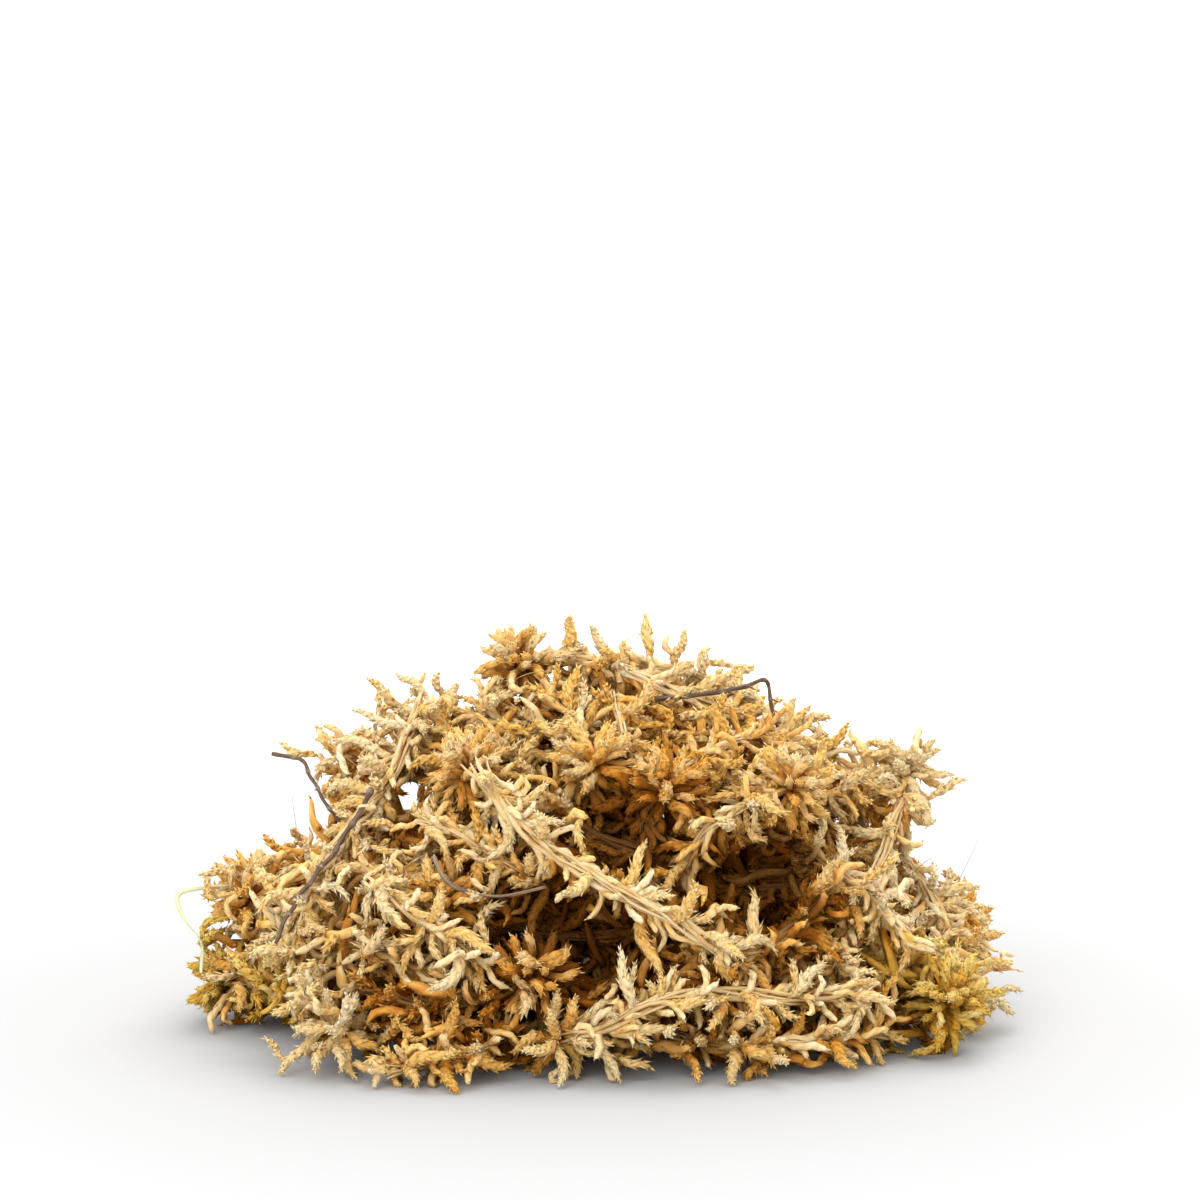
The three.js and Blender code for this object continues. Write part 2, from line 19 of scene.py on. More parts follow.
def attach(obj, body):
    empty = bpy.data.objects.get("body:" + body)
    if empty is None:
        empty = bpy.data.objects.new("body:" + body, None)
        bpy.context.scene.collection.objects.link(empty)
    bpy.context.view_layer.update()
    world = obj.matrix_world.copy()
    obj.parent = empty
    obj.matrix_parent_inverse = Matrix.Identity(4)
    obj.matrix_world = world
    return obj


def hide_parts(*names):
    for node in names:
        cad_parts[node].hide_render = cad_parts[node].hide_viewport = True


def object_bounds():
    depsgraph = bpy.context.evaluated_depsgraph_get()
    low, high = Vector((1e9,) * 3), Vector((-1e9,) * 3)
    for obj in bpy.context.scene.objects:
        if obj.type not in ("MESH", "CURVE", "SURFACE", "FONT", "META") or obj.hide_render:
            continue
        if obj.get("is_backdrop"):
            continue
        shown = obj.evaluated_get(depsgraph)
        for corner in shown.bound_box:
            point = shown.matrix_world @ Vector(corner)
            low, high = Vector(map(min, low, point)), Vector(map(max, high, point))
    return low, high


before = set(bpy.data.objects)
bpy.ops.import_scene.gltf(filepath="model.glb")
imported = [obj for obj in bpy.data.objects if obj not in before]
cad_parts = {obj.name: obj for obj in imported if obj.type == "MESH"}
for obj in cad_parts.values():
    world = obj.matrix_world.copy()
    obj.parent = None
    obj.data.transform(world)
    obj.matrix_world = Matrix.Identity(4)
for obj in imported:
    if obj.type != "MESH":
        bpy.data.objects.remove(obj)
CAD_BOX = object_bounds()

bl_info = {
    "name": "Sphagnum Moss Clump",
    "version": (1, 0, 0),
    "blender": (4, 5, 0),
    "location": "View3D > Sidebar > Moss",
    "description": "Dresses a heap of dried sphagnum strands with leaves, fibres and hairs",
    "category": "Add Mesh",
}

MM = 0.001

# The sizes by which the strands of the frame were grown. Lengths are in millimetres.
STEM_RADIUS = 0.85
STEM_CAP = 0.9
ROOT_DEPTH = 0.6
CLEARANCE = 0.32
FLOOR_SINK = 0.7
MIDDLE = np.array((0.3, -2.3, 0.0))
GOLDEN_ANGLE = math.pi * (3 - math.sqrt(5))
# Beads stand for the limbs where clearances are tested
BEAD_STEP = 0.9
ROUNDNESS = 0.87
# How far round a stem each new try at a branch goes
TRY_TURN = 1.9
# Sprays: leafy branches along the stems. A range is that of the branch's angle from the stem, its
# length or its radius, and SHORTEST is what is left of the length at the last try.
SPRAY_LENGTH = 12
SPRAY_RADIUS = 1.2
SPRAY_SPACING = 4.9
SPRAY_SPREAD = (0.75, 1.35)
SPRAY_LENGTHS = (0.75, 1.15)
SPRAY_RADII = (0.85, 1.1)
SPRAY_BEND = 1.9
SPRAY_DROOP = 0.6
SPRAY_SHORTEST = 0.6
# How high the knees of the longest branches may stand, as shares of their length
TIP_RISES = (0.16, 0.3, -0.1, 0)
# A branch that leans on another strand is called long past this length, and is so much thinner
LEAN_LONG = 9
LEAN_THIN = 0.9
LEAN_SWAY = 0.25
# Heads, with their stout branches and the smaller ones between. Of each kind the table gives the
# cosines of its first and last branch from the way that the head faces, its bend, the range of
# its length, and what is left of that at the last try.
HEAD_REACH = 8.2
HEAD_CORE = 3.4
HEAD_BRANCHES = 12
HEAD_BUDS = 46
CLUB_RADIUS = 1.45
BUD_RADIUS = 0.8
BUD_CLEARANCE = -0.75
HEAD_GROWTH = {
    "club": (0.97, -0.72, 0.9, (0.88, 1.12), 0.82),
    "bud": (0.99, -0.8, 0.8, (0.72, 1.1), 1),
}

# Tufts of small branches: how far apart they are, and how many branches each has and lets hang
TUFT_SPACING = 1.7
TUFT_BRANCHES = 3
TUFT_HANGING = 2
TUFT_LENGTHS = {"pendent": (5, 9.5), "sprig": (5.5, 9)}
TUFT_CLEARANCE = {"pendent": -0.65, "sprig": -0.3}
TUFT_SPREAD = {"pendent": (0.2, 0.75), "sprig": (0.6, 1.3)}
TUFT_BEND = {"pendent": 1.0, "sprig": 1.9}
TUFT_SHORTEST = 0.65
TUFT_DROOP = 0.65
TUFT_FALL = 0.5
SPRIG_RADIUS = 0.6
# How deep in the heap tufts still grow, and how far their tips may stand out of it
TUFT_DEPTH = 24
TUFT_OVERHANG = 0.3
HEAP_MIDDLE = np.array((0.0, 0.0, 14.0))
SKYLINE_CONE = math.radians(4.5)
# Stems of at least this radius show their fibres on the side that faces out
ROPE_STEM = 1.3
ROPE_BARE = 0.3

# What fills the heap's gaps: the kind, the number of tries, a number that makes its draws its own,
# the least gap, the range of depth, the length, the radius, and the lowest and highest place
FILLS = [
    ("litter", 14000, 0.31, 2.2, (10, 60), 14, 0.8, 0, 100),
    ("litter", 8000, 0.59, 1.7, (9, 60), 12, 0.7, 0, 100),
    ("sprig", 16000, 0.47, 1.6, (2, 13), 7, 0.5, 0, 100),
    ("sprig", 7000, 0.73, 1.4, (3, 30), 8, 0.5, 36, 100),
    ("litter", 5000, 0.87, 1.4, (7, 60), 12, 0.7, 0, 15),
]
FILL_CLEARANCE = -0.5
FILL_LENGTHS = (0.7, 1.2)
FILL_REACH = 0.7
FILL_BEND = 1.8
FILL_HANGING = 0.4
# The drawn limbs are gathered anew after so many tries
FILL_BATCH = 400

# How a branch's line is drawn: its steps, its curl in radians by kind, and its wave
SPINE_STEPS = 10
CURL = {"spray": 1.4, "long": 1.1, "club": 0.9, "bud": 1.2, "sprig": 1.9, "pendent": 2.8,
        "litter": 1.2}
CURL_RANGE = (0.15, 1)
CURL_GROWTH = 1.5
WAVE = 0.07
WAVE_TURNS = 0.8
GIRTHS = (0.92, 1.22)
FORMS_PER_KIND = 5
FLOOR_GAP = 0.02
# The studs of a branch's core: how far they stand out and on, and how much paler they are
STUD_HEIGHT = 0.12
STUD_SHIFT = 0.35
STUD_PALENESS = 0.35
# A leaf's width at its foot, how deep it sits in the core, and how far its point bends outwards
LEAF_FOOT = 0.9
LEAF_SEAT = 0.72
LEAF_HOOK = (-0.08, 0.22)

# A stem's fibres: the spacing of their rings, and, as shares of the stem's radius, where they lie,
# how thick they are, and how far their ends fray
FIBRE_RING = 1.9
FIBRE_OUT = 0.62
FIBRE_THICK = 0.32
FIBRE_RANGE = (0.5, 1.25)
FRAY = 2.5
TWIG_RING = 0.55
TWIG_THICK = 0.72
TWIG_TAPER = (1.05, 0.75)
KNOT_SPACING = 4.2
STUB_LENGTHS = (0.8, 1.7)
# A blade's half width, thickness, fold and twist
BLADES = {"sedge": (0.85, 0.14, 0.35, 1.2), "lichen": (0.42, 0.1, 0.0, 5.0)}
HAIR_LENGTHS = (6, 14)
FLAKE_LENGTHS = (1.2, 2.6)
FLAKE_WIDTHS = (0.4, 0.9)
# How dark it may be round a branch for a hair or a scrap to sit on it
PERCH_DEPTH = 0.28

# Where the heap stays open: rods given by two ends and a radius, in the frame of the routes
HOLLOWS = [
    ((-11, -54, 22), (-11, -39, 18.5), 5.5),
    ((-1, -54, 20.5), (-1, -39, 18), 5),
    ((27, -49, 30), (27, -35, 27.5), 5.5),
    ((3, -46, 39.5), (3, -37, 38), 4),
    ((-32, -30, 42), (-34.5, 22, 34), 2.5),
    ((-13, -10, 56), (-13.5, 22, 52.5), 2),
]
# The branches round the first of them are painted dark, a painted shade inside those hollows, and the
# others are seen through
DARK_HOLLOWS = 4
HOLLOW_SHADE = 1.2
HOLLOW_EDGE = 2.2
# For the light inside it, the heap is counted in cubes of this size, which light crosses in so
# many ways and steps
CUBE = 1.5
LIGHT_WAYS = 14
LIGHT_STEPS = 14
LIGHT_START = 1.6
LIGHT_LOSS = 0.9

# The range of a branch's tint by kind, from the deepest to the palest, where it isn't 0 to 1
TINTS = {"litter": (0, 0.2), "pendent": (0.15, 1.05), "sprig": (0.05, 1.05)}
RAMP_PLACES = (0.0, 0.25, 0.55, 0.9)
# How much each of these adds to the paleness of a leaf or a fibre, on top of its least
LEAF_PALENESS = {"least": 0.24, "tint": 0.48, "edge": 0.25, "along": 0.04, "patches": 0.65,
                 "mottle": 0.35, "streaks": 0.3}
# For a fibre, edge is how nearly its side faces out of the stem, so that its inner side, in the
# grooves, is a painted shade
FIBRE_PALENESS = {"least": 0.12, "tint": 0.3, "edge": 0.35, "lines": 1.0, "blotch": 0.5}
# Painted shade: where a colour deepens, and where it is lost in the painted shade colour, as the slope
# and start of a ramp over the darkness
SHADE_DEEPENS = (2.1, -0.84)
SHADE_BLACKENS = (2.7, -1.8)
PATCHES_PER_METRE = 85
# The depth in metres and the strength of the relief
LEAF_BUMP = (0.0002, 0.6)
FIBRE_BUMP = (0.0003, 0.8)
LEAF_GLOSS = 0.05
FIBRE_GLOSS = 0.06
TWIG_GLOSS = 0.3
BLADE_GLOSS = 0.35
COARSE = 0.8

# The stage, in metres
FLOOR_RADIUS = 6.0
FLOOR_DROP = 0.00005
CAMERA_PLACE = (-0.00005, -0.5788, 0.1225)
CAMERA_DIP = 5.02
CAMERA_LENS = 100
CAMERA_SENSOR = 36
CAMERA_CLIP = (0.01, 50)
# The floor's colour at distances from the middle: painted light, paler far off up to white, so that the
# floor fades into the white background
FLOOR_TONES = [(0.0, (0.46, 0.46, 0.461)), (0.1, (0.465, 0.465, 0.466)),
               (0.28, (0.53, 0.53, 0.53)), (0.6, (1.0, 1.0, 1.0))]
WORLD_LIGHT = 1.2
# Each light's size, power and place
LIGHTS = {
    "key": (0.6, 4.8, (0.2, 0.28, 0.85)),
    "fill": (0.7, 8.0, (-0.3, -0.9, 0.5)),
    "back": (0.9, 6.0, (0.15, 0.9, 0.5)),
}


class Strand:
    """A stem's route, the end that carries a head, and the far tips of its longest branches"""

    def __init__(self, name, tone, route, tips=(), head="", stem=STEM_RADIUS,
                 spacing=SPRAY_SPACING, bare=False):
        self.name, self.tone, self.head, self.bare = name, tone, head, bare
        self.stem, self.spacing = stem, spacing
        self.tips = [np.array(tip, float) for tip in tips]
        self.points = np.array(route, float)
        self.branches = []


STRANDS = [
    Strand("crown_ridge", "golden", head="start", stem=1.1,
           route=[(-14, -4, 61), (-5, -3, 62), (3, -5, 60), (12, -8, 57), (21, -9, 53), (30, -8, 49),
                  (39, -4, 44)],
           tips=[(-6, -3, 70)]),
    Strand("left_shoulder", "straw", stem=1.4,
           route=[(-30, -8, 56), (-33, -15, 50), (-36, -22, 43), (-42, -28, 36), (-47, -34, 29),
                  (-50, -38, 22), (-51, -40, 16)],
           tips=[(-36, -7, 59), (-43, -12, 53), (-46, -14, 48), (-47, -18, 44)]),
    Strand("diagonal", "straw", stem=1.35,
           route=[(-20, -37, 48), (-16, -42, 42), (-9, -46, 36), (0, -50, 31), (8, -52, 27),
                  (18, -52, 21), (23, -50, 18)]),
    Strand("front_rope", "straw", head="start", stem=1.25, spacing=3.6,
           route=[(-7, -56, 7), (0, -58, 9), (8, -58, 13), (16, -55, 14), (25, -52, 13), (34, -49, 12),
                  (41, -46, 13)],
           tips=[(1, -61, 0), (20, -59, 7)]),
    Strand("right_tower", "straw", head="start", stem=1.2,
           route=[(52, -6, 43), (51, -12, 38), (48, -20, 32), (44, -28, 25), (40, -34, 19),
                  (37, -40, 15)],
           tips=[(46, -6, 48), (55, -5, 49), (59, -8, 37)]),
    Strand("right_crown_head", "golden", head="start",
           route=[(31, -34, 44), (24, -39, 42), (17, -41, 38), (13, -38, 31)]),
    Strand("centre_head", "golden", head="start",
           route=[(-1, -31, 47), (-3, -25, 51), (-5, -17, 54), (-9, -10, 56)]),
    Strand("centre_right_head", "amber", head="start",
           route=[(10, -36, 44), (15, -31, 48), (21, -24, 50), (28, -16, 51)]),
    Strand("upper_left_head", "golden", head="start",
           route=[(-22, -30, 46), (-24, -22, 47), (-28, -15, 47), (-36, -12, 46), (-44, -10, 44)],
           tips=[(-47, -8, 49)]),
    Strand("right_low_head", "olive", head="start",
           route=[(57, -36, 9), (51, -30, 12), (45, -26, 15), (40, -24, 19)],
           tips=[(53, -41, 0), (58, -42, 0)]),
    Strand("front_left_head", "amber", head="end",
           route=[(-39, -44, 13), (-29, -48, 11), (-20, -51, 12), (-11, -52, 16)]),
    Strand("left_outer_head", "golden", head="start",
           route=[(-61, -8, 21), (-58, -14, 17), (-59, -18, 12), (-63, -19, 6)],
           tips=[(-68, -6, 27), (-59, -7, 30), (-69, -14, 12)]),
    Strand("left_lower", "straw", head="end",
           route=[(-54, -34, 21), (-50, -41, 16), (-46, -47, 11), (-42, -52, 7)],
           tips=[(-53, -52, 0), (-41, -58, 0)]),
    Strand("crown_back", "straw",
           route=[(-6, 8, 56), (1, 6, 60), (8, 4, 60), (17, 4, 58), (25, 6, 54), (33, 8, 49)],
           tips=[(-1, 3, 67), (14, 3, 67), (19, 5, 63), (25, 6, 60), (34, 8, 54)]),
    Strand("centre_drape", "amber",
           route=[(2, -12, 57), (3, -20, 54), (4, -27, 49), (6, -33, 43), (7, -38, 37)]),
    Strand("left_crossbar", "straw",
           route=[(-37, 2, 52), (-28, -4, 53), (-19, -10, 52), (-11, -14, 51), (-4, -18, 49)],
           tips=[(-25, -4, 58)]),
    Strand("left_mid", "golden", head="end",
           route=[(-44, -28, 31), (-38, -36, 30), (-32, -41, 28), (-26, -43, 26)]),
    Strand("left_mid_rope", "straw",
           route=[(-38, -46, 31), (-32, -50, 27), (-26, -52, 23), (-20, -54, 19)]),
    Strand("left_outer_low", "olive", head="start",
           route=[(-64, -13, 7), (-58, -24, 8), (-52, -32, 9), (-44, -38, 8)],
           tips=[(-66, -20, 0), (-70, -12, 10)]),
    Strand("front_left_low", "golden",
           route=[(-34, -60, 2.5), (-27, -58, 3.5), (-20, -57, 5), (-16, -50, 6), (-14, -42, 6)],
           tips=[(-23, -66, 0), (-29, -65, 2)]),
    Strand("front_right_low", "golden", spacing=3.6,
           route=[(12, -51, 6), (21, -54, 5), (29, -53, 6), (37, -50, 5), (45, -42, 5)],
           tips=[(28, -61, 0), (20, -60, 0), (38, -57, 2)]),
    Strand("right_outer", "straw",
           route=[(53, -4, 27), (57, -12, 21), (61, -16, 14), (63, -20, 7)],
           tips=[(69, -12, 14), (72, -15, 10), (69, -22, 2), (66, -6, 20)]),
    Strand("right_mid", "straw",
           route=[(31, -28, 34), (38, -32, 30), (44, -35, 26), (50, -37, 20)]),
    Strand("right_centre_amber", "amber", head="start",
           route=[(21, -49, 17), (27, -46, 20), (33, -42, 24), (38, -37, 28)]),
    Strand("centre_deep", "amber",
           route=[(-22, -38, 24), (-14, -35, 21), (-5, -33, 19), (5, -32, 20), (14, -30, 23)]),
    Strand("right_deep", "amber",
           route=[(12, -30, 30), (20, -28, 26), (29, -26, 26), (37, -22, 29), (44, -14, 31)]),
    Strand("centre_upper", "golden",
           route=[(-19, -16, 50), (-13, -24, 46), (-7, -31, 40), (0, -36, 36), (9, -38, 33)]),
    Strand("mid_left_hang", "golden",
           route=[(-30, -36, 39), (-23, -40, 37), (-16, -44, 33), (-8, -43, 29)],
           tips=[(-19, -48, 28), (-13, -47, 20)]),
    Strand("front_left_mid", "straw",
           route=[(-40, -45, 20), (-33, -48, 18), (-26, -50, 16), (-19, -48, 14), (-10, -44, 12)]),
    Strand("right_shoulder", "golden",
           route=[(28, -22, 46), (35, -20, 42), (41, -14, 39), (45, -6, 37)],
           tips=[(40, -16, 46)]),
    Strand("back_crest", "golden", head="end",
           route=[(-26, 12, 48), (-14, 18, 52), (-2, 20, 51), (10, 19, 49), (22, 18, 46)]),
    Strand("back_left_shoulder", "golden", head="start",
           route=[(-42, 14, 40), (-36, 20, 41), (-28, 25, 41), (-20, 31, 38)]),
    Strand("back_right_shoulder", "straw", head="start",
           route=[(46, 14, 36), (39, 20, 37), (31, 24, 38), (22, 28, 37)]),
    Strand("back_drape_left", "straw", head="end", stem=1,
           route=[(-12, 26, 46), (-17, 34, 38), (-23, 41, 29), (-29, 46, 19), (-34, 49, 9)]),
    Strand("back_drape_middle", "golden", head="end", stem=1,
           route=[(6, 27, 44), (5, 35, 36), (3, 42, 27), (-1, 47, 18), (-5, 50, 9)]),
    Strand("back_drape_right", "amber", head="end",
           route=[(18, 30, 38), (24, 37, 30), (30, 43, 20), (36, 46, 10)]),
    Strand("back_low_left", "straw",
           route=[(-64, 8, 5), (-56, 18, 6), (-49, 28, 6), (-44, 38, 5), (-42, 46, 4)],
           tips=[(-70, 4, 8), (-60, 22, 0)]),
    Strand("back_low_middle", "golden",
           route=[(-24, 50, 3), (-14, 57, 3), (-3, 60, 2), (9, 59, 3), (19, 54, 3), (28, 49, 3)],
           tips=[(-12, 64, 1), (14, 65, 1)]),
    Strand("back_low_right", "olive", head="end",
           route=[(30, 36, 5), (40, 34, 7), (50, 29, 8), (58, 22, 8)],
           tips=[(66, 26, 0)]),
    Strand("left_side", "amber", head="start",
           route=[(-60, 8, 19), (-53, 12, 24), (-46, 9, 30), (-40, 4, 35)]),
    Strand("right_side", "golden", head="start",
           route=[(62, 5, 14), (57, 10, 20), (51, 9, 26), (45, 6, 30)],
           tips=[(70, 8, 9)]),
    Strand("back_mid_left", "amber",
           route=[(-54, 22, 15), (-46, 28, 21), (-37, 31, 26), (-27, 33, 27), (-16, 33, 26)]),
    Strand("back_mid_right", "straw",
           route=[(54, 18, 20), (46, 26, 23), (38, 31, 23), (28, 32, 25), (17, 33, 25)]),
    Strand("bed_middle", "amber", stem=1.3, spacing=8.5,
           route=[(-30, -10, 3), (-18, -3, 0.6), (-6, 0, 0.6), (6, 0, 0.6), (18, -3, 0.6),
                  (30, -12, 3)]),
    Strand("bed_left", "amber", spacing=8.5,
           route=[(-52, 2, 5), (-42, 10, 4), (-32, 18, 5), (-22, 28, 6), (-12, 38, 6)]),
    Strand("bed_right", "amber", spacing=8.5,
           route=[(50, -6, 6), (40, 6, 5), (30, 16, 6), (20, 26, 7), (10, 36, 7)]),
    Strand("inner_low", "amber", spacing=8.5,
           route=[(-40, -20, 16), (-26, -16, 13), (-12, -14, 12), (2, -16, 13), (16, -14, 12),
                  (28, -18, 14)]),
    Strand("inner_back", "amber", spacing=8.5,
           route=[(-34, 12, 22), (-20, 18, 20), (-6, 20, 18), (8, 20, 20), (22, 16, 22), (34, 8, 24)]),
    Strand("inner_middle", "amber", spacing=8.5,
           route=[(-36, -8, 34), (-24, -4, 34), (-12, -2, 32), (0, -4, 33), (12, -6, 34),
                  (24, -6, 36)]),
    Strand("inner_crest", "amber", spacing=8.5,
           route=[(-20, 6, 46), (-10, 8, 44), (2, 4, 45), (13, 5, 46), (24, 4, 43), (34, 2, 39)]),
    Strand("twig_long", "bark", stem=0.55, bare=True,
           route=[(9, -12, 56), (17, -14, 57), (24, -12, 58), (28, -11, 59), (29, -11, 54),
                  (30, -10, 51)]),
    Strand("twig_out", "bark", stem=0.5, bare=True,
           route=[(-56, -15, 47), (-51, -16, 46), (-49, -18, 43), (-47, -20, 40), (-44, -22, 36)]),
    Strand("twig_bent", "bark", stem=0.6, bare=True,
           route=[(-38, -29, 43), (-43, -36, 35), (-47, -40, 30), (-50, -43, 26), (-53, -44, 20)]),
    Strand("twig_short", "bark", stem=0.5, bare=True,
           route=[(-14, -7, 56), (-11, -11, 53), (-8, -14, 47)]),
    Strand("filament", "lichen", stem=0.45, bare=True,
           route=[(-64, -13, 24), (-72, -15, 23), (-71, -17, 19), (-68, -18, 15), (-68, -19, 10)]),
    Strand("sedge_blade", "sedge", stem=0.8, bare=True,
           route=[(-27, -48, 35), (-24, -51, 31), (-17, -51, 29), (-9, -48, 30)]),
]


def unit(vector):
    return vector / math.sqrt(vector @ vector)


def between(low, high, share):
    return low + (high - low) * share


def chance(strand, place, draw):
    """A number from 0 to 1 that depends only on its arguments"""
    wave = math.sin(strand * 127.1 + place * 311.7 + draw * 74.7) * 43758.5453
    return wave - math.floor(wave)


def sway(draw, first, drop=0.5):
    """A small random step, which sinks where drop is over a half"""
    return np.array((draw(first) - 0.5, draw(first + 1) - 0.5, draw(first + 2) - drop))


def across(direction):
    """Two directions square to the given one"""
    up = np.array((1.0, 0, 0)) if abs(direction[2]) > 0.9 else np.array((0, 0, 1.0))
    side = unit(np.cross(direction, up))
    return side, np.cross(side, direction)


def smooth(points, shares):
    """Points of the smooth curve through the given points, at shares from 0 to 1 of the way"""
    ends = 2 * points[0] - points[1], 2 * points[-1] - points[-2]
    padded = np.vstack([ends[0], points, ends[1]])
    place = np.asarray(shares, float) * (len(points) - 1)
    span = np.clip(place.astype(int), 0, len(points) - 2)
    t = (place - span)[:, None]
    before, start, end, after = (padded[span + step] for step in range(4))
    leave, arrive = 0.5 * (end - before), 0.5 * (after - start)
    cubic = 2 * start - 2 * end + leave + arrive
    return start + t * leave + t**2 * (3 * end - 3 * start - 2 * leave - arrive) + t**3 * cubic


def evenly(points, count):
    """So many evenly spread points of the smooth curve through the given ones"""
    return smooth(points, np.linspace(0, 1, count))


def line_length(points):
    return float(np.linalg.norm(np.diff(points, axis=0), axis=1).sum())


def curve_length(points):
    return line_length(evenly(points, 201))


# A branch's rings, as pairs of the place along it and the share of its radius
PROFILES = {
    "spray": ((0, 0), (0.42, 1), (1, 0)),
    "club": ((0, 0), (0.74, 1), (1, 0)),
    "long": ((0, 0), (0.3, 1), (0.66, 0.8), (1, 0)),
}


class Branch:
    """A branch bends from its root past its knee to its tip"""

    def __init__(self, root, knee, tip, radius, kind):
        self.root, self.knee, self.tip, self.radius, self.kind = root, knee, tip, radius, kind
        self.line = None

    def at(self, shares):
        t = np.asarray(shares, float)[:, None]
        return (1 - t) ** 2 * self.root + 2 * t * (1 - t) * self.knee + t**2 * self.tip

    def limb(self):
        places, shares = zip(*PROFILES.get(self.kind, PROFILES["spray"]))
        return self.at(places), self.radius * np.array(shares, float)


def curled_line(branch, number):
    """A branch's centre line as it is drawn, which curls more and more towards its tip"""
    if branch.line is not None:
        return branch.line
    shares = np.linspace(0, 1, SPINE_STEPS)
    points = branch.at(shares)
    steps = np.diff(points, axis=0)
    side, lift = across(unit(branch.tip - branch.root))
    phase = 2 * math.pi * chance(number, 1, 1)
    axis = side * math.cos(phase) + lift * math.sin(phase)
    curl = CURL[branch.kind] * bpy.context.scene.moss_sizes.curl
    angle = curl * between(*CURL_RANGE, chance(number, 1, 2)) * shares[1:, None] ** CURL_GROWTH
    curled = steps * np.cos(angle) + np.cross(axis, steps) * np.sin(angle)
    curled = curled + np.outer(steps @ axis, axis) * (1 - np.cos(angle))
    points = np.vstack([points[:1], points[0] + np.cumsum(curled, axis=0)])
    length = np.linalg.norm(branch.tip - branch.root)
    swing = WAVE * length * np.sin(math.pi * shares)[:, None]
    wave = 2 * math.pi * WAVE_TURNS * shares[:, None] + 2 * phase
    branch.line = points + swing * (np.sin(wave) * side + np.cos(1.3 * wave) * lift)
    branch.line[:, 2] = np.maximum(branch.line[:, 2], 0.5 * branch.radius)
    return branch.line


def from_hollow(points, start, end, radius):
    """Of each point, the share of the way into a hollow, and the distance from its axis in radii"""
    span = np.subtract(end, start)
    share = np.clip((points - start) @ span / (span @ span), 0, 1)
    return share, np.linalg.norm(points - start - share[:, None] * span, axis=1) / radius


def fits_open(branch, strand, index):
    """Whether the next branch of a strand, as it is drawn, keeps out of the hollows"""
    line = curled_line(branch, index * 100 + len(strand.branches))[2:]
    return not any((from_hollow(line, *hollow)[1] < 1).any() for hollow in HOLLOWS)


class Beads:
    """Beads strung along a limb, which stand for it where clearances are tested"""

    def __init__(self, limb, owner, free_from):
        points, radii = limb
        point, radius, place = [], [], []
        for ring in range(1, len(points)):
            span = points[ring] - points[ring - 1]
            steps = math.ceil(math.sqrt(span @ span) / BEAD_STEP)
            share = np.arange(1, steps + 1) / steps
            point.append(points[ring - 1] + share[:, None] * span)
            radius.append(ROUNDNESS * between(radii[ring - 1], radii[ring], share))
            place.append((ring - 1 + share) / (len(points) - 1))
        self.point, self.radius = np.concatenate(point), np.concatenate(radius)
        self.place, self.owner = np.concatenate(place), owner
        self.free = self.place > free_from
        self.head = np.zeros(len(self.place), bool)

    def add_head(self, point, place):
        self.point = np.vstack([self.point, point])
        self.radius = np.append(self.radius, HEAD_CORE + 1)
        self.place = np.append(self.place, place)
        self.free, self.head = np.append(self.free, False), np.append(self.head, True)

    def seats(self):
        return np.flatnonzero(~self.head & (self.place > 0.2) & (self.place < 0.8))


class Room:
    """The room that all the limbs grown so far take up"""

    def __init__(self, size=120000):
        self.point, self.radius = np.zeros((size, 3)), np.zeros(size)
        self.owner, self.free, self.used = np.zeros(size, int), np.zeros(size, bool), 0

    def add(self, beads):
        rows = slice(self.used, self.used + len(beads.radius))
        self.point[rows], self.radius[rows] = beads.point, beads.radius
        self.owner[rows], self.free[rows] = beads.owner, beads.free
        self.used = rows.stop

    def deepest_clash(self, beads, clearance=CLEARANCE):
        """The bead and the other that lie deepest in each other, and how deep, or None"""
        reach = beads.radius.max() + clearance + HEAD_CORE + 1
        low, high = beads.point.min(0) - reach, beads.point.max(0) + reach
        point = self.point[: self.used]
        near = np.flatnonzero(((point > low) & (point < high)).all(1))
        if not len(near):
            return None
        gap = np.linalg.norm(beads.point[:, None] - point[near][None], axis=2)
        depth = beads.radius[:, None] + self.radius[near] + clearance - gap
        own = self.owner[near] == beads.owner
        depth[own[None] & ~(beads.free[:, None] & self.free[near])] = -1
        bead, other = np.unravel_index(np.argmax(depth), depth.shape)
        if depth[bead, other] <= 0:
            return None
        return beads.point[bead], point[near[other]], bead, depth[bead, other]


def stem_limb(strand):
    """The rings of a stem, with a blunt point beyond each end"""
    rings = (len(strand.points) - 1) * (2 if strand.bare else 1)
    points = evenly(strand.points, rings + 1)
    first = points[0] + STEM_CAP * unit(points[0] - points[1])
    last = points[-1] + STEM_CAP * unit(points[-1] - points[-2])
    radii = np.array([0, *[strand.stem] * len(points), 0], float)
    return np.vstack([first, points, last]), radii


def stem_at(strand, share):
    """The point of a stem at a share of the way along it, and the way it runs there"""
    points = strand.limb[0]
    place = 1 + min(share, 0.9999) * (len(points) - 3)
    ring = math.floor(place)
    forward = points[ring + 1] - points[ring]
    return points[ring] + forward * (place - ring), unit(forward)


def head_point(strand):
    return strand.points[0 if strand.head == "start" else -1]


def lay_stem(strand, index, room):
    """Bends a stem clear of the stems laid before it, one route point at a time"""
    for _ in range(300):
        strand.limb = stem_limb(strand)
        strand.beads = Beads(strand.limb, index, 1)
        if strand.head:
            strand.beads.add_head(head_point(strand), 0 if strand.head == "start" else 1)
        clash = room.deepest_clash(strand.beads)
        if clash is None:
            break
        here, there, bead, depth = clash
        point = math.floor(strand.beads.place[bead] * (len(strand.points) - 1) + 0.5)
        strand.points[point] += unit(here - there) * (depth + 0.05)
        strand.points[point, 2] = max(strand.points[point, 2], strand.stem - FLOOR_SINK)
    room.add(strand.beads)


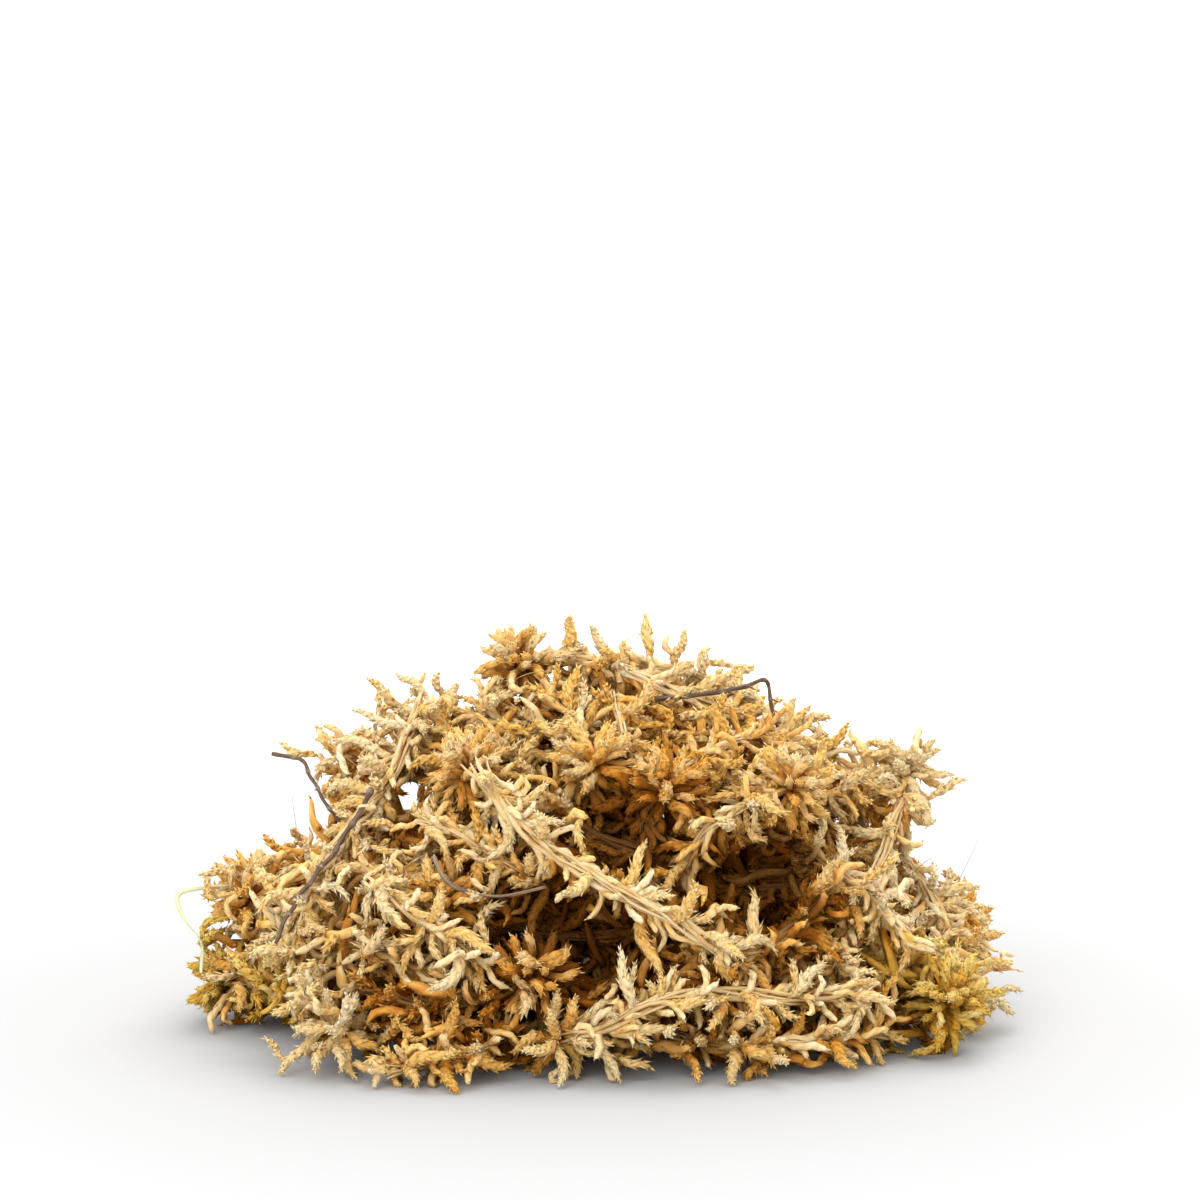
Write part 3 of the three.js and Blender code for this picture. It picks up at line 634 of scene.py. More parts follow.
def settle(strand, index, branch, room, clearance=CLEARANCE):
    """Grows the branch where it is clear of the others and of the table, and says if it did"""
    beads = Beads(branch.limb(), index, 0.5)
    if (beads.point[:, 2] < beads.radius - FLOOR_SINK).any():
        return False
    if room.deepest_clash(beads, clearance) is not None:
        return False
    strand.branches.append(branch)
    room.add(beads)
    return True


def meetings(strand, other):
    """Where the stems of two strands come nearest, the closest places first"""
    starts = [bead for bead in strand.beads.seats() if bead % 2 == 0]
    ends = other.beads.seats()
    gap = np.linalg.norm(strand.beads.point[starts][:, None] - other.beads.point[ends][None], axis=2)
    gap -= other.beads.radius[ends]
    found = [(gap[row, end], starts[row], ends[end]) for row, end in enumerate(gap.argmin(1))]
    return sorted(found, key=lambda meeting: meeting[0])[:6]


def lean(grower, carrier, index, meeting, room):
    """A branch that leans from one strand against the stem of another, as close as touching"""
    start, end = grower.beads.point[meeting[1]], carrier.beads.point[meeting[2]]
    span = unit(end - start)
    tip = end - span * (carrier.beads.radius[meeting[2]] + CLEARANCE + 0.01)
    length = math.sqrt((tip - start) @ (tip - start))
    root = start - ROOT_DEPTH * span
    side, lift = across(span)
    kind = "long" if length > LEAN_LONG else "spray"
    for attempt in range(8):
        aside = side * math.cos(attempt) + lift * math.sin(attempt)
        knee = start + span * length * 0.5 + aside * LEAN_SWAY * length * (1 - attempt / 8)
        if settle(grower, index, Branch(root, knee, tip, SPRAY_RADIUS * LEAN_THIN, kind), room):
            return True
    return False


def link_strands(room):
    """Links the strands into one heap by leaning branches, the nearest loose strand first"""
    nearest = functools.lru_cache(None)(lambda a, b: meetings(STRANDS[a], STRANDS[b]))
    linked = {0: True}
    while len(linked) < len(STRANDS):
        choices = []
        for index, strand in enumerate(STRANDS):
            for other in linked if index not in linked else ():
                if strand.bare and STRANDS[other].bare:
                    continue
                grower, carrier = (other, index) if strand.bare else (index, other)
                choices += [(way, index, grower, carrier) for way in nearest(grower, carrier)]
        choices.sort(key=lambda choice: choice[0][0])
        for way, index, grower, carrier in choices:
            if lean(STRANDS[grower], STRANDS[carrier], grower, way, room):
                linked[index] = True
                break
        else:
            break


def grow_round_head(strand, index, room, kind, count, tries, shift, radius, clearance):
    """Short branches all round the end of the stem. shift keeps their draws and turns apart from
    those of the other kind, as a pair of numbers."""
    if not strand.head:
        return
    first, last, bend, lengths, shortest = HEAD_GROWTH[kind]
    sign = -1 if strand.head == "start" else 1
    outward = sign * stem_at(strand, 0 if strand.head == "start" else 1)[1]
    side, lift = across(outward)
    for place in range(count):
        along = between(first, last, (place + 0.5) / count)
        wide = math.sqrt(1 - along * along)
        for attempt in range(tries):
            draw = lambda k: chance(index + shift[0], place, attempt * 7 + k)
            turn = (place + shift[1]) * GOLDEN_ANGLE + attempt * (draw(0) - 0.5)
            heading = outward * along + side * wide * math.cos(turn) + lift * wide * math.sin(turn)
            turned = unit(heading + bend * sway(draw, 1))
            half = 0.5 * HEAD_REACH * between(*lengths, draw(4))
            half = half * between(1, shortest, attempt / (tries - 1))
            root = head_point(strand).copy()
            knee = root + heading * half
            branch = Branch(root, knee, knee + turned * half, radius, kind)
            if settle(strand, index, branch, room, clearance):
                break


def grow_head(strand, index, room):
    """The stout branches of a head"""
    shift = (0.5, 0)
    grow_round_head(strand, index, room, "club", HEAD_BRANCHES, 6, shift, CLUB_RADIUS, CLEARANCE)


def grow_tips(strand, index, room):
    """The longest branches, each from the nearest point of the stem to its given tip"""
    for tip in strand.tips:
        places = [stem_at(strand, step / 40)[0] for step in range(41)]
        root = min(places, key=lambda point: math.sqrt((point - tip) @ (point - tip)))
        span = tip - root
        for rise in TIP_RISES:
            knee = root + 0.5 * span
            knee[2] += rise * math.sqrt(span @ span)
            if settle(strand, index, Branch(root, knee, tip, SPRAY_RADIUS, "long"), room):
                break


def grow_sprays(strand, index, room):
    """Leafy branches along the stem, turned by the golden angle from one to the next"""
    if strand.bare:
        return
    count = math.floor(curve_length(strand.points) / strand.spacing + 0.5)
    for place in range(count):
        point, forward = stem_at(strand, (place + 0.5) / count)
        side, lift = across(forward)
        for attempt in range(10):
            draw = lambda k: chance(index, place, attempt * 7 + k)
            turn = place * GOLDEN_ANGLE + attempt * TRY_TURN + draw(0) * 0.6
            spread = between(*SPRAY_SPREAD, draw(1))
            outward = side * math.cos(turn) + lift * math.sin(turn)
            heading = forward * math.cos(spread) + outward * math.sin(spread)
            turned = unit(heading + SPRAY_BEND * sway(draw, 2, SPRAY_DROOP))
            half = 0.5 * SPRAY_LENGTH * between(*SPRAY_LENGTHS, draw(5))
            half = half * between(1, SPRAY_SHORTEST, attempt / 9)
            root = point - ROOT_DEPTH * heading
            knee = root + heading * half
            radius = SPRAY_RADIUS * between(*SPRAY_RADII, draw(6))
            branch = Branch(root, knee, knee + turned * half, radius, "spray")
            if settle(strand, index, branch, room):
                break


def down_strand(strand, index):
    """1 where the older end of a strand is the end of its route, or -1"""
    if strand.head:
        return 1 if strand.head == "start" else -1
    return 1 if chance(index, 0, 5) < 0.5 else -1


def grow_tufts(strand, index, room):
    """Tufts of small branches: of each tuft two hang along the stem, and one spreads out"""
    if strand.bare:
        return
    count = math.floor(curve_length(strand.points) / TUFT_SPACING + 0.5)
    for place in range(count):
        point, forward = stem_at(strand, (place + 0.5) / count)
        if burial_distance(point[None])[0] > TUFT_DEPTH:
            continue
        side, lift = across(forward)
        down = forward * down_strand(strand, index)
        for member in range(TUFT_BRANCHES):
            kind = "pendent" if member < TUFT_HANGING else "sprig"
            for attempt in range(5):
                draw = lambda k: chance(index + 0.25 + member * 0.1, place, attempt * 8 + k)
                turn = (place * TUFT_BRANCHES + member) * GOLDEN_ANGLE
                turn = turn + attempt * TRY_TURN + draw(0)
                spread = between(*TUFT_SPREAD[kind], draw(1))
                outward = side * math.cos(turn) + lift * math.sin(turn)
                if strand.stem >= ROPE_STEM and outward @ unit(point - HEAP_MIDDLE) > ROPE_BARE:
                    continue
                heading = down * math.cos(spread) + outward * math.sin(spread)
                bend = TUFT_BEND[kind] * sway(draw, 2, TUFT_DROOP)
                turned = unit(heading + bend + TUFT_FALL * down)
                half = 0.5 * between(*TUFT_LENGTHS[kind], draw(5))
                half = half * between(1, TUFT_SHORTEST, attempt / 4)
                knee = point + heading * half
                branch = Branch(point, knee, knee + turned * half, SPRIG_RADIUS, kind)
                if burial_distance(branch.tip[None])[0] < -TUFT_OVERHANG:
                    continue
                if not fits_open(branch, strand, index):
                    continue
                if settle(strand, index, branch, room, TUFT_CLEARANCE[kind]):
                    break


def grow_buds(strand, index, room):
    """More short branches in a head, between its stout ones"""
    if strand.tone != "straw":
        shift = (0.75, 0.37)
        grow_round_head(strand, index, room, "bud", HEAD_BUDS, 4, shift, BUD_RADIUS, BUD_CLEARANCE)


def drawn_lines():
    """Points along all stems and drawn branches, and the strand that each belongs to"""
    lines, owners = [], []
    for index, strand in enumerate(STRANDS):
        if strand.bare:
            continue
        lines.append(evenly(strand.points, 5 * len(strand.points)))
        for number, branch in enumerate(strand.branches):
            lines.append(curled_line(branch, index * 100 + number)[1:-2])
        owners.append(np.full(sum(map(len, lines)) - sum(map(len, owners)), index))
    return np.vstack(lines), np.concatenate(owners)


def fill_gaps(room, kind, tries, span, gap, depths, length, radius, bottom, top):
    """Grows branches into the empty places of the heap, each from the limb that lies nearest"""
    for number in range(tries):
        if number % FILL_BATCH == 0:
            lines, owners = drawn_lines()
            tree = kdtree.KDTree(len(lines))
            for row, point in enumerate(lines):
                tree.insert(point, row)
            tree.balance()
            low, high = lines.min(0), lines.max(0)
            low[2], high[2] = bottom, min(top, high[2])
        draw = lambda k: chance(number, span, k)
        place = low + (high - low) * np.array((draw(0), draw(1), draw(2)))
        place[2] = max(place[2], radius)
        near, row, distance = tree.find(place)
        if not gap < distance < FILL_REACH * length:
            continue
        deep = burial_distance(place[None])[0]
        if not depths[0] < deep < depths[1]:
            continue
        index = int(owners[row])
        root = lines[row]
        heading = unit(place - root)
        half = 0.5 * length * between(*FILL_LENGTHS, draw(6))
        knee = root + heading * half
        tip = knee + unit(heading + FILL_BEND * sway(draw, 3)) * half
        shown = "pendent" if kind == "sprig" and draw(7) < FILL_HANGING else kind
        branch = Branch(root.copy(), knee, tip, radius, shown)
        if burial_distance(tip[None])[0] < -TUFT_OVERHANG:
            continue
        if fits_open(branch, STRANDS[index], index):
            settle(STRANDS[index], index, branch, room, FILL_CLEARANCE)


@functools.lru_cache(None)
def grown_room():
    """Grows the whole clump, and gives the room that it takes up"""
    room = Room()

    def grow_each(*steps):
        for grow in steps:
            for index, strand in enumerate(STRANDS):
                grow(strand, index, room)

    grow_each(lay_stem)
    link_strands(room)
    grow_each(grow_head, grow_tips, grow_sprays)
    keep_skin(room)
    grow_each(grow_buds, grow_tufts)
    for fill in FILLS:
        fill_gaps(room, *fill)
    return room


SKIN = {}


def keep_skin(room):
    """Keeps the directions and distances of everything grown so far, seen from the middle"""
    outer = room.point[: room.used] - HEAP_MIDDLE
    reach = np.linalg.norm(outer, axis=1)
    SKIN["way"], SKIN["reach"] = outer / reach[:, None], reach


def burial_distance(points):
    """How far under the heap's outside each point lies"""
    inner = points - HEAP_MIDDLE
    distance = np.linalg.norm(inner, axis=1)
    facing = (inner / distance[:, None]) @ SKIN["way"].T > math.cos(SKYLINE_CONE)
    return np.where(facing, SKIN["reach"], 0).max(1) - distance


@functools.lru_cache(None)
def filled_cubes():
    """How full each cube of the heap is, and the corner from which the cubes are counted"""
    points, amounts = [], []
    for index, strand in enumerate(STRANDS):
        limbs = [(evenly(strand.points, 8 * len(strand.points)), strand.stem)]
        limbs += [(curled_line(branch, index * 100 + number), branch.radius)
                  for number, branch in enumerate(strand.branches)]
        for line, radius in limbs:
            points.append(line)
            amount = math.pi * radius**2 * line_length(line) / len(line)
            amounts.append(np.full(len(line), amount))
    points = np.vstack(points)
    low = points.min(0) - CUBE
    cells = ((points - low) / CUBE).astype(int)
    cubes = np.zeros(cells.max(0) + 2)
    np.add.at(cubes, tuple(cells.T), np.concatenate(amounts) / CUBE**3)
    return low, cubes


def darkness(points):
    """The share of the light from above and all round that does not reach each point"""
    low, cubes = filled_cubes()
    light = np.zeros(len(points))
    for number in range(LIGHT_WAYS):
        height = (number + 0.5) / LIGHT_WAYS
        wide, turn = math.sqrt(1 - height**2), number * GOLDEN_ANGLE
        way = np.array((wide * math.cos(turn), wide * math.sin(turn), height))
        passed = np.zeros(len(points))
        for step in range(LIGHT_STEPS):
            cells = ((points + way * (LIGHT_START + step * CUBE) - low) / CUBE).astype(int)
            cells = np.clip(cells, 0, np.array(cubes.shape) - 1)
            passed += cubes[tuple(cells.T)]
        light += np.exp(-LIGHT_LOSS * passed) / LIGHT_WAYS
    dark = 1 - light
    # Painted shade: the branches round the dark hollows count as darker still
    for hollow in HOLLOWS[:DARK_HOLLOWS]:
        share, distance = from_hollow(points, *hollow)
        dark = dark + HOLLOW_SHADE * share * np.clip(HOLLOW_EDGE - distance, 0, 1)
    return np.clip(dark, 0, 1)


class Spine:
    """A centre line, with a frame that runs along it without turning about it"""

    def __init__(self, points, depth=None):
        steps = np.gradient(points, axis=0)
        ahead = steps / np.linalg.norm(steps, axis=1)[:, None]
        normal = [across(ahead[0])[0]]
        for along in ahead[1:]:
            normal.append(unit(normal[-1] - along * (normal[-1] @ along)))
        self.points, self.normal = points, np.array(normal)
        self.binormal = np.cross(ahead, self.normal)
        self.length = line_length(points)
        # depth holds the darkness round the line, which the finishes paint in as shade
        self.depth = darkness(points) if depth is None else depth

    def place(self, local):
        """Moves points given by x, y and the share of the length to where the line runs"""
        at = local[:, 2] * (len(self.points) - 1)
        low = np.clip(at.astype(int), 0, len(self.points) - 2)
        share = (at - low)[:, None]
        rows = [row[low] + share * (row[low + 1] - row[low])
                for row in (self.points, self.normal, self.binormal)]
        return rows[0] + local[:, :1] * rows[1] + local[:, 1:2] * rows[2]


class Form:
    """A straight limb that is made once and bent many times. Its x and y are in millimetres, and
    its z is the share of its length."""

    def __init__(self, name, bm):
        mark = bm.verts.layers.float["mark"]
        self.local = np.array([vert.co for vert in bm.verts])
        self.edge = np.array([vert[mark] for vert in bm.verts])
        bm.verts.layers.float.remove(mark)
        bmesh.ops.recalc_face_normals(bm, faces=bm.faces)
        self.mesh = bpy.data.meshes.new(name)
        bm.to_mesh(self.mesh)
        bm.free()


def core_profile(places, stations):
    shares, radii = zip(*stations)
    return np.interp(places, shares, radii)


def core_mesh(stations, sides, rows):
    """A closed spindle, whose radius is given at stations along it. Every other corner stands out
    and a little further on, as the tips of leaves pressed flat do."""
    bm = bmesh.new()
    bmesh.ops.create_uvsphere(bm, u_segments=sides, v_segments=rows, radius=1)
    for vert in bm.verts:
        row = rows * (1 - math.acos(max(-1, min(1, vert.co.z))) / math.pi)
        column = sides * math.atan2(vert.co.y, vert.co.x) / (2 * math.pi)
        stands = (round(row) + round(column)) % 2
        rim = math.hypot(vert.co.x, vert.co.y)
        share = row / rows
        if 0 < round(row) < rows:
            share += STUD_SHIFT * stands / rows
        radius = core_profile(share, stations) * (1 + STUD_HEIGHT * (stands - 0.5) * 2)
        radius = 0 if rim < 1e-5 else radius / rim
        vert.co = (vert.co.x * radius, vert.co.y * radius, share)
    for face in bm.faces:
        face.smooth = True
    mesh = bpy.data.meshes.new("core")
    bm.to_mesh(mesh)
    bm.free()
    return mesh


@functools.lru_cache(None)
def leaf_mesh():
    """One pointed leaf: a three-sided cone with a keel outside"""
    bm = bmesh.new()
    bmesh.ops.create_cone(bm, cap_ends=True, segments=3, radius1=1, radius2=0, depth=1)
    bmesh.ops.remove_doubles(bm, verts=bm.verts, dist=1e-4)
    keel = max(bm.verts, key=lambda vert: vert.co.y).co.copy()
    spin = -math.atan2(keel.y, keel.x)
    for vert in bm.verts:
        share = vert.co.z + 0.5
        wide = LEAF_FOOT * (1 - share)
        angle = math.atan2(vert.co.y, vert.co.x) + spin
        vert.co = (wide * math.cos(angle), wide * math.sin(angle), share)
    bmesh.ops.recalc_face_normals(bm, faces=bm.faces)
    for face in bm.faces:
        face.smooth = face.calc_center_median().z > 0.1
    mesh = bpy.data.meshes.new("leaf")
    bm.to_mesh(mesh)
    bm.free()
    return mesh, np.array([vert.co for vert in mesh.vertices])


def add_leaf(bm, mark, shape, foot, turn, tilt, size, hook):
    """A leaf that grows at foot (radius and height) and leans out by tilt. size is its thickness,
    width and length, and hook bends its point outwards."""
    mesh, shape = shape
    first = len(bm.verts)
    bm.from_mesh(mesh)
    bm.verts.ensure_lookup_table()
    thick, wide, long = size
    x = shape[:, 0] * thick + hook * long * shape[:, 2] ** 2
    z = shape[:, 2] * long
    out = foot[0] + x * math.cos(tilt) + z * math.sin(tilt)
    up = foot[1] + z * math.cos(tilt) - x * math.sin(tilt)
    y = shape[:, 1] * wide
    for number, vert in enumerate(bm.verts[first:]):
        vert.co = (out[number] * math.cos(turn) - y[number] * math.sin(turn),
                   out[number] * math.sin(turn) + y[number] * math.cos(turn), up[number])
        vert[mark] = float(shape[number, 2])


def leafy_form(name, seed, length, stations, leaves, leaf, tilt, start, sides=6, rows=7,
               paleness=0.05):
    """A branch clad in overlapping leaves, which wind round it up to its tip"""
    dice = random.Random(seed)
    size_of_leaf = bpy.context.scene.moss_sizes.leaf_size
    bm = bmesh.new()
    mark = bm.verts.layers.float.new("mark")
    bm.from_mesh(core_mesh(stations, sides, rows))
    core = len(bm.verts)
    for vert in bm.verts:
        stands = math.hypot(vert.co.x, vert.co.y) > core_profile(vert.co.z, stations)
        vert[mark] = paleness + STUD_PALENESS * stands
    for number in range(leaves):
        share = between(start, 0.96, number / (leaves - 1))
        grown = size_of_leaf * (0.55 + 0.45 * math.sin(math.pi * min(1, 0.15 + 0.85 * share)))
        radius = float(core_profile(share, stations))
        size = (leaf[0] * grown, leaf[1] * grown * dice.uniform(0.8, 1.15),
                leaf[2] * grown * dice.uniform(0.85, 1.25))
        lean_out = tilt * dice.uniform(0.5, 1.5)
        turn = number * GOLDEN_ANGLE + dice.uniform(-0.3, 0.3)
        add_leaf(bm, mark, leaf_mesh(), (radius * LEAF_SEAT, share * length), turn, lean_out, size,
                 dice.uniform(*LEAF_HOOK))
    bm.verts.ensure_lookup_table()
    for vert in bm.verts[core:]:
        vert.co.z /= length
    return Form(name, bm)


# The forms of branches. stations gives pairs of a place along the core and its radius there, leaf
# the thickness, half width and length of a leaf, tilt how far it leans out, start the place of
# the first leaf, and paleness how near the core comes to the leaves' points in colour.
FORMS = {
    "spray": dict(length=12, stations=((0, 0.36), (0.12, 0.5), (0.45, 0.92), (0.8, 0.62), (1, 0.06)),
                  leaves=34, leaf=(0.29, 0.58, 1.5), tilt=0.3, start=0.08, sides=7, rows=12),
    "long": dict(length=16, stations=((0, 0.4), (0.1, 0.54), (0.35, 0.94), (0.8, 0.56), (1, 0.06)),
                 leaves=40, leaf=(0.29, 0.58, 1.5), tilt=0.3, start=0.08, sides=7, rows=14),
    "club": dict(length=8.2, stations=((0, 0.38), (0.25, 0.54), (0.55, 0.72), (0.82, 0.78),
                                       (0.94, 0.5), (1, 0.12)),
                 leaves=18, leaf=(0.25, 0.44, 1.35), tilt=0.22, start=0.4, sides=8, rows=10),
    "bud": dict(length=7.2, stations=((0, 0.32), (0.25, 0.46), (0.8, 0.66), (0.94, 0.44), (1, 0.1)),
                leaves=10, leaf=(0.22, 0.42, 1.25), tilt=0.24, start=0.45),
    "sprig": dict(length=7, stations=((0, 0.26), (0.15, 0.38), (0.5, 0.64), (0.85, 0.44), (1, 0.05)),
                  leaves=17, leaf=(0.27, 0.58, 1.4), tilt=0.29, start=0.1, sides=5, rows=8),
    "pendent": dict(length=9, stations=((0, 0.32), (0.2, 0.5), (0.75, 0.55), (0.94, 0.32), (1, 0.05)),
                    leaves=4, leaf=(0.2, 0.36, 1.2), tilt=0.2, start=0.35, sides=5, rows=8,
                    paleness=0.25),
    "litter": dict(length=16, stations=((0, 0.5), (0.2, 0.8), (0.6, 0.9), (1, 0.2)),
                   leaves=5, leaf=(0.3, 0.7, 2.0), tilt=0.3, start=0.1, sides=4, rows=6,
                   paleness=0.3),
}


@functools.lru_cache(None)
def branch_forms(kind):
    """The forms of one kind of branch, each with other leaves"""
    return [leafy_form(f"{kind}_{seed}", seed, **FORMS[kind]) for seed in range(FORMS_PER_KIND)]


@functools.lru_cache(None)
def tube_form(sides, rings):
    """A straight closed tube of radius 1, with rings along it"""
    bm = bmesh.new()
    bm.verts.layers.float.new("mark")
    bmesh.ops.create_cone(bm, cap_ends=True, segments=sides, radius1=1, radius2=1, depth=1)
    rails = [edge for edge in bm.edges if abs(edge.verts[0].co.z - edge.verts[1].co.z) > 0.5]
    bmesh.ops.subdivide_edges(bm, edges=rails, cuts=rings - 1, use_grid_fill=True)
    bmesh.ops.translate(bm, verts=bm.verts, vec=(0, 0, 0.5))
    for face in bm.faces:
        face.smooth = True
    return Form(f"tube_{sides}_{rings}", bm)


class Piece:
    """The mesh of one strand, to which bent copies of forms are added"""

    def __init__(self):
        self.bm = bmesh.new()
        self.grain = self.bm.verts.layers.float_vector.new("grain")
        self.look = self.bm.verts.layers.float_vector.new("look")
        # depth holds the darkness round each point, which the finishes paint in as shade
        self.depth = self.bm.verts.layers.float.new("depth")

    def add(self, form, spine, local, tint, material=0, edge=None):
        """Adds a form, bent along the spine. It is paler where tint and edge are nearer 1."""
        edge = form.edge if edge is None else edge
        first, first_face = len(self.bm.verts), len(self.bm.faces)
        self.bm.from_mesh(form.mesh, face_normals=False, vertex_normals=False)
        self.bm.verts.ensure_lookup_table()
        places = spine.place(local)
        # The darkness round the spine, which is painted in as shade
        depth = np.interp(local[:, 2], np.linspace(0, 1, len(spine.points)), spine.depth).tolist()
        places[:, 2] = np.maximum(places[:, 2], FLOOR_GAP)
        places = ((places + MIDDLE) * MM).tolist()
        shift = 40 * tint + first * 0.37
        grain = np.column_stack([local[:, 0] + shift, local[:, 1] - shift, local[:, 2] * spine.length])
        look = np.column_stack([np.full(len(local), tint), local[:, 2], edge]).tolist()
        rows = zip(self.bm.verts[first:], places, grain.tolist(), look, depth)
        for vert, place, grain_here, look_here, darkness_here in rows:
            vert.co = place
            vert[self.grain] = grain_here
            vert[self.look] = look_here
            vert[self.depth] = darkness_here
        if material:
            self.bm.faces.ensure_lookup_table()
            for face in self.bm.faces[first_face:]:
                face.material_index = material

    def finish(self, name, node, slot, materials):
        """Makes the piece's object, which stands for a node of the frame if one is named"""
        self.bm.normal_update()
        mesh = bpy.data.meshes.new(name)
        self.bm.to_mesh(mesh)
        self.bm.free()
        for material in materials:
            mesh.materials.append(material)
        piece = bpy.data.objects.new(name, mesh)
        bpy.context.scene.collection.objects.link(piece)
        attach(piece, "root")
        if node:
            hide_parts(node)
        return piece


# Places in the outermost branches, on which hairs and scraps sit
PERCHES = []


def add_branches(piece, strand, index):
    lines = [curled_line(branch, index * 100 + number) for number, branch in enumerate(strand.branches)]
    # The darkness round each branch, which the finishes paint in as shade
    depths = darkness(np.vstack(lines)).reshape(-1, SPINE_STEPS)
    for number, branch in enumerate(strand.branches):
        draw = lambda k: chance(index + 0.1, number, k)
        loose = branch.kind == "club" and strand.tone == "straw"
        forms = branch_forms("spray" if loose else branch.kind)
        form = forms[int(draw(0) * len(forms))]
        turn, girth = 2 * math.pi * draw(1), between(*GIRTHS, draw(2))
        local = form.local.copy()
        x, y = form.local[:, 0] * girth, form.local[:, 1] * girth
        local[:, 0] = x * math.cos(turn) - y * math.sin(turn)
        local[:, 1] = x * math.sin(turn) + y * math.cos(turn)
        spine = Spine(lines[number], depths[number])
        piece.add(form, spine, local, between(*TINTS.get(branch.kind, (0, 1)), draw(3)))
        if spine.depth.mean() < PERCH_DEPTH:
            PERCHES.append(spine.points[int(between(2, 8, draw(4)))])


def add_fibres(piece, strand, index):
    """The stem's twisted fibres, some of which fray at its ends"""
    sizes = bpy.context.scene.moss_sizes
    spine = Spine(smooth(strand.points, np.linspace(-0.01, 1.01, 8 * len(strand.points))))
    form = tube_form(5, max(6, round(spine.length / FIBRE_RING)))
    angle = np.arctan2(form.local[:, 1], form.local[:, 0])
    share = form.local[:, 2]
    near_end = np.maximum(0, 0.1 - share) + np.maximum(0, share - 0.9)
    pointed = 1 - np.abs(2 * share - 1) ** 12 * 0.8
    count = sizes.stem_fibres
    for number in range(count):
        draw = lambda k: chance(index + 0.6, number, k)
        wave = lambda pace, k: np.sin(share * spine.length * pace + 6 * draw(k))
        turn = 2 * math.pi * (number + 0.5 * draw(0)) / count
        turn = turn + sizes.fibre_twist * share * spine.length * MM * 2 * math.pi
        turn = turn + 0.5 * wave(0.35, 1)
        out = strand.stem * FIBRE_OUT * (1 + 0.3 * wave(0.5, 2))
        out = out + between(0, FRAY, draw(4)) * strand.stem * near_end * 10 * draw(5)
        thick = strand.stem * FIBRE_THICK * between(*FIBRE_RANGE, draw(3)) * pointed
        thick = thick * (1 + 0.15 * wave(1.7, 6))
        local = form.local.copy()
        local[:, 0] = out * np.cos(turn) + thick * np.cos(angle)
        local[:, 1] = out * np.sin(turn) + thick * np.sin(angle)
        # Painted shade: each fibre is paler on the side facing out of the stem, and darker in the
        # grooves towards its middle
        piece.add(form, spine, local, draw(7), 1, 0.5 + 0.5 * np.cos(angle - turn))


def bare_spine(strand):
    return Spine(evenly(strand.points, 10 * len(strand.points)))


def add_twig(piece, strand, index):
    """A thin dry twig, thicker at its knots, with a short stub at each"""
    spine = bare_spine(strand)
    form = tube_form(7, max(8, round(spine.length / TWIG_RING)))
    angle = np.arctan2(form.local[:, 1], form.local[:, 0])
    share = form.local[:, 2]
    walked = share * spine.length
    knots = np.maximum(0, np.cos(2 * math.pi * (walked / KNOT_SPACING + chance(index, 2, 2)))) ** 10
    rough = 0.1 * np.sin(3 * angle + 1.3 * walked) + 0.08 * np.sin(walked * 2.9)
    thick = strand.stem * TWIG_THICK * (1 + rough + 0.5 * knots) * between(*TWIG_TAPER, share)
    drift = 0.25 * np.sin(walked * 0.9 + index)
    local = np.column_stack([drift + thick * np.cos(angle), thick * np.sin(angle), share])
    piece.add(form, spine, local, chance(index, 3, 3), 0, knots)
    stub = tube_form(5, 2)
    for number in range(int(spine.length / KNOT_SPACING)):
        at = (number + 1 - chance(index, 2, 2)) * KNOT_SPACING / spine.length
        if not 0.02 < at < 0.98:
            continue
        root = spine.place(np.array([[0, 0, at]]))[0]
        turn = 6.3 * chance(index, number, 4)
        way = spine.place(np.array([[math.cos(turn), math.sin(turn), min(1, at + 0.02)]]))[0] - root
        shares = np.linspace(0, 1, 4)[:, None]
        line = Spine(root + unit(way) * shares * between(*STUB_LENGTHS, chance(index, number, 5)))
        local = stub.local.copy()
        local[:, :2] *= (0.2 - 0.1 * stub.local[:, 2:]) * strand.stem / 0.5
        piece.add(stub, line, local, 0.6, 0, np.full(len(local), 0.7))


def add_ribbon(piece, strand, index, half_width, thickness, fold, twist):
    """A flat blade, folded along its middle, that narrows to both ends"""
    spine = bare_spine(strand)
    form = tube_form(8, max(10, round(spine.length / TWIG_RING)))
    share = form.local[:, 2]
    narrow = 0.25 + 0.75 * np.sin(math.pi * np.clip(share * 0.9 + 0.05, 0, 1)) ** 0.4
    x = form.local[:, 0] * half_width * narrow
    y = form.local[:, 1] * thickness + fold * np.abs(x)
    turn = twist * share + index
    turned = x * np.cos(turn) - y * np.sin(turn), x * np.sin(turn) + y * np.cos(turn)
    local = np.column_stack([*turned, share])
    piece.add(form, spine, local, 0.5, 0, 0.5 + 0.5 * np.cos(form.local[:, 0] * 14))


def surface_seats(count, seed):
    """Perches, each with the way out of the heap"""
    dice = random.Random(seed)
    for place in dice.choices([perch for perch in PERCHES if perch[2] > 2], k=count):
        yield place, unit(place - HEAP_MIDDLE), dice


def add_hairs(piece):
    """Loose hair-thin fibres that stand out of the heap"""
    sizes = bpy.context.scene.moss_sizes
    form = tube_form(4, 12)
    for place, out, dice in surface_seats(sizes.hairs, 11):
        side, lift = across(out)
        turn = dice.uniform(0, 6.3)
        heading = unit(out * dice.uniform(0.1, 0.7) + side * math.cos(turn) + lift * math.sin(turn))
        bend = np.array([dice.uniform(-1, 1) for _ in range(3)])
        shares = np.linspace(0, 1, 14)[:, None]
        length = dice.uniform(*HAIR_LENGTHS)
        droop = 0.4 * bend * shares ** 2 - 0.25 * out * shares ** 2
        line = place + length * (heading * shares + droop)
        local = form.local.copy()
        local[:, :2] *= sizes.hair_radius / MM * (1.2 - 0.7 * local[:, 2:])
        piece.add(form, Spine(line), local, dice.random())


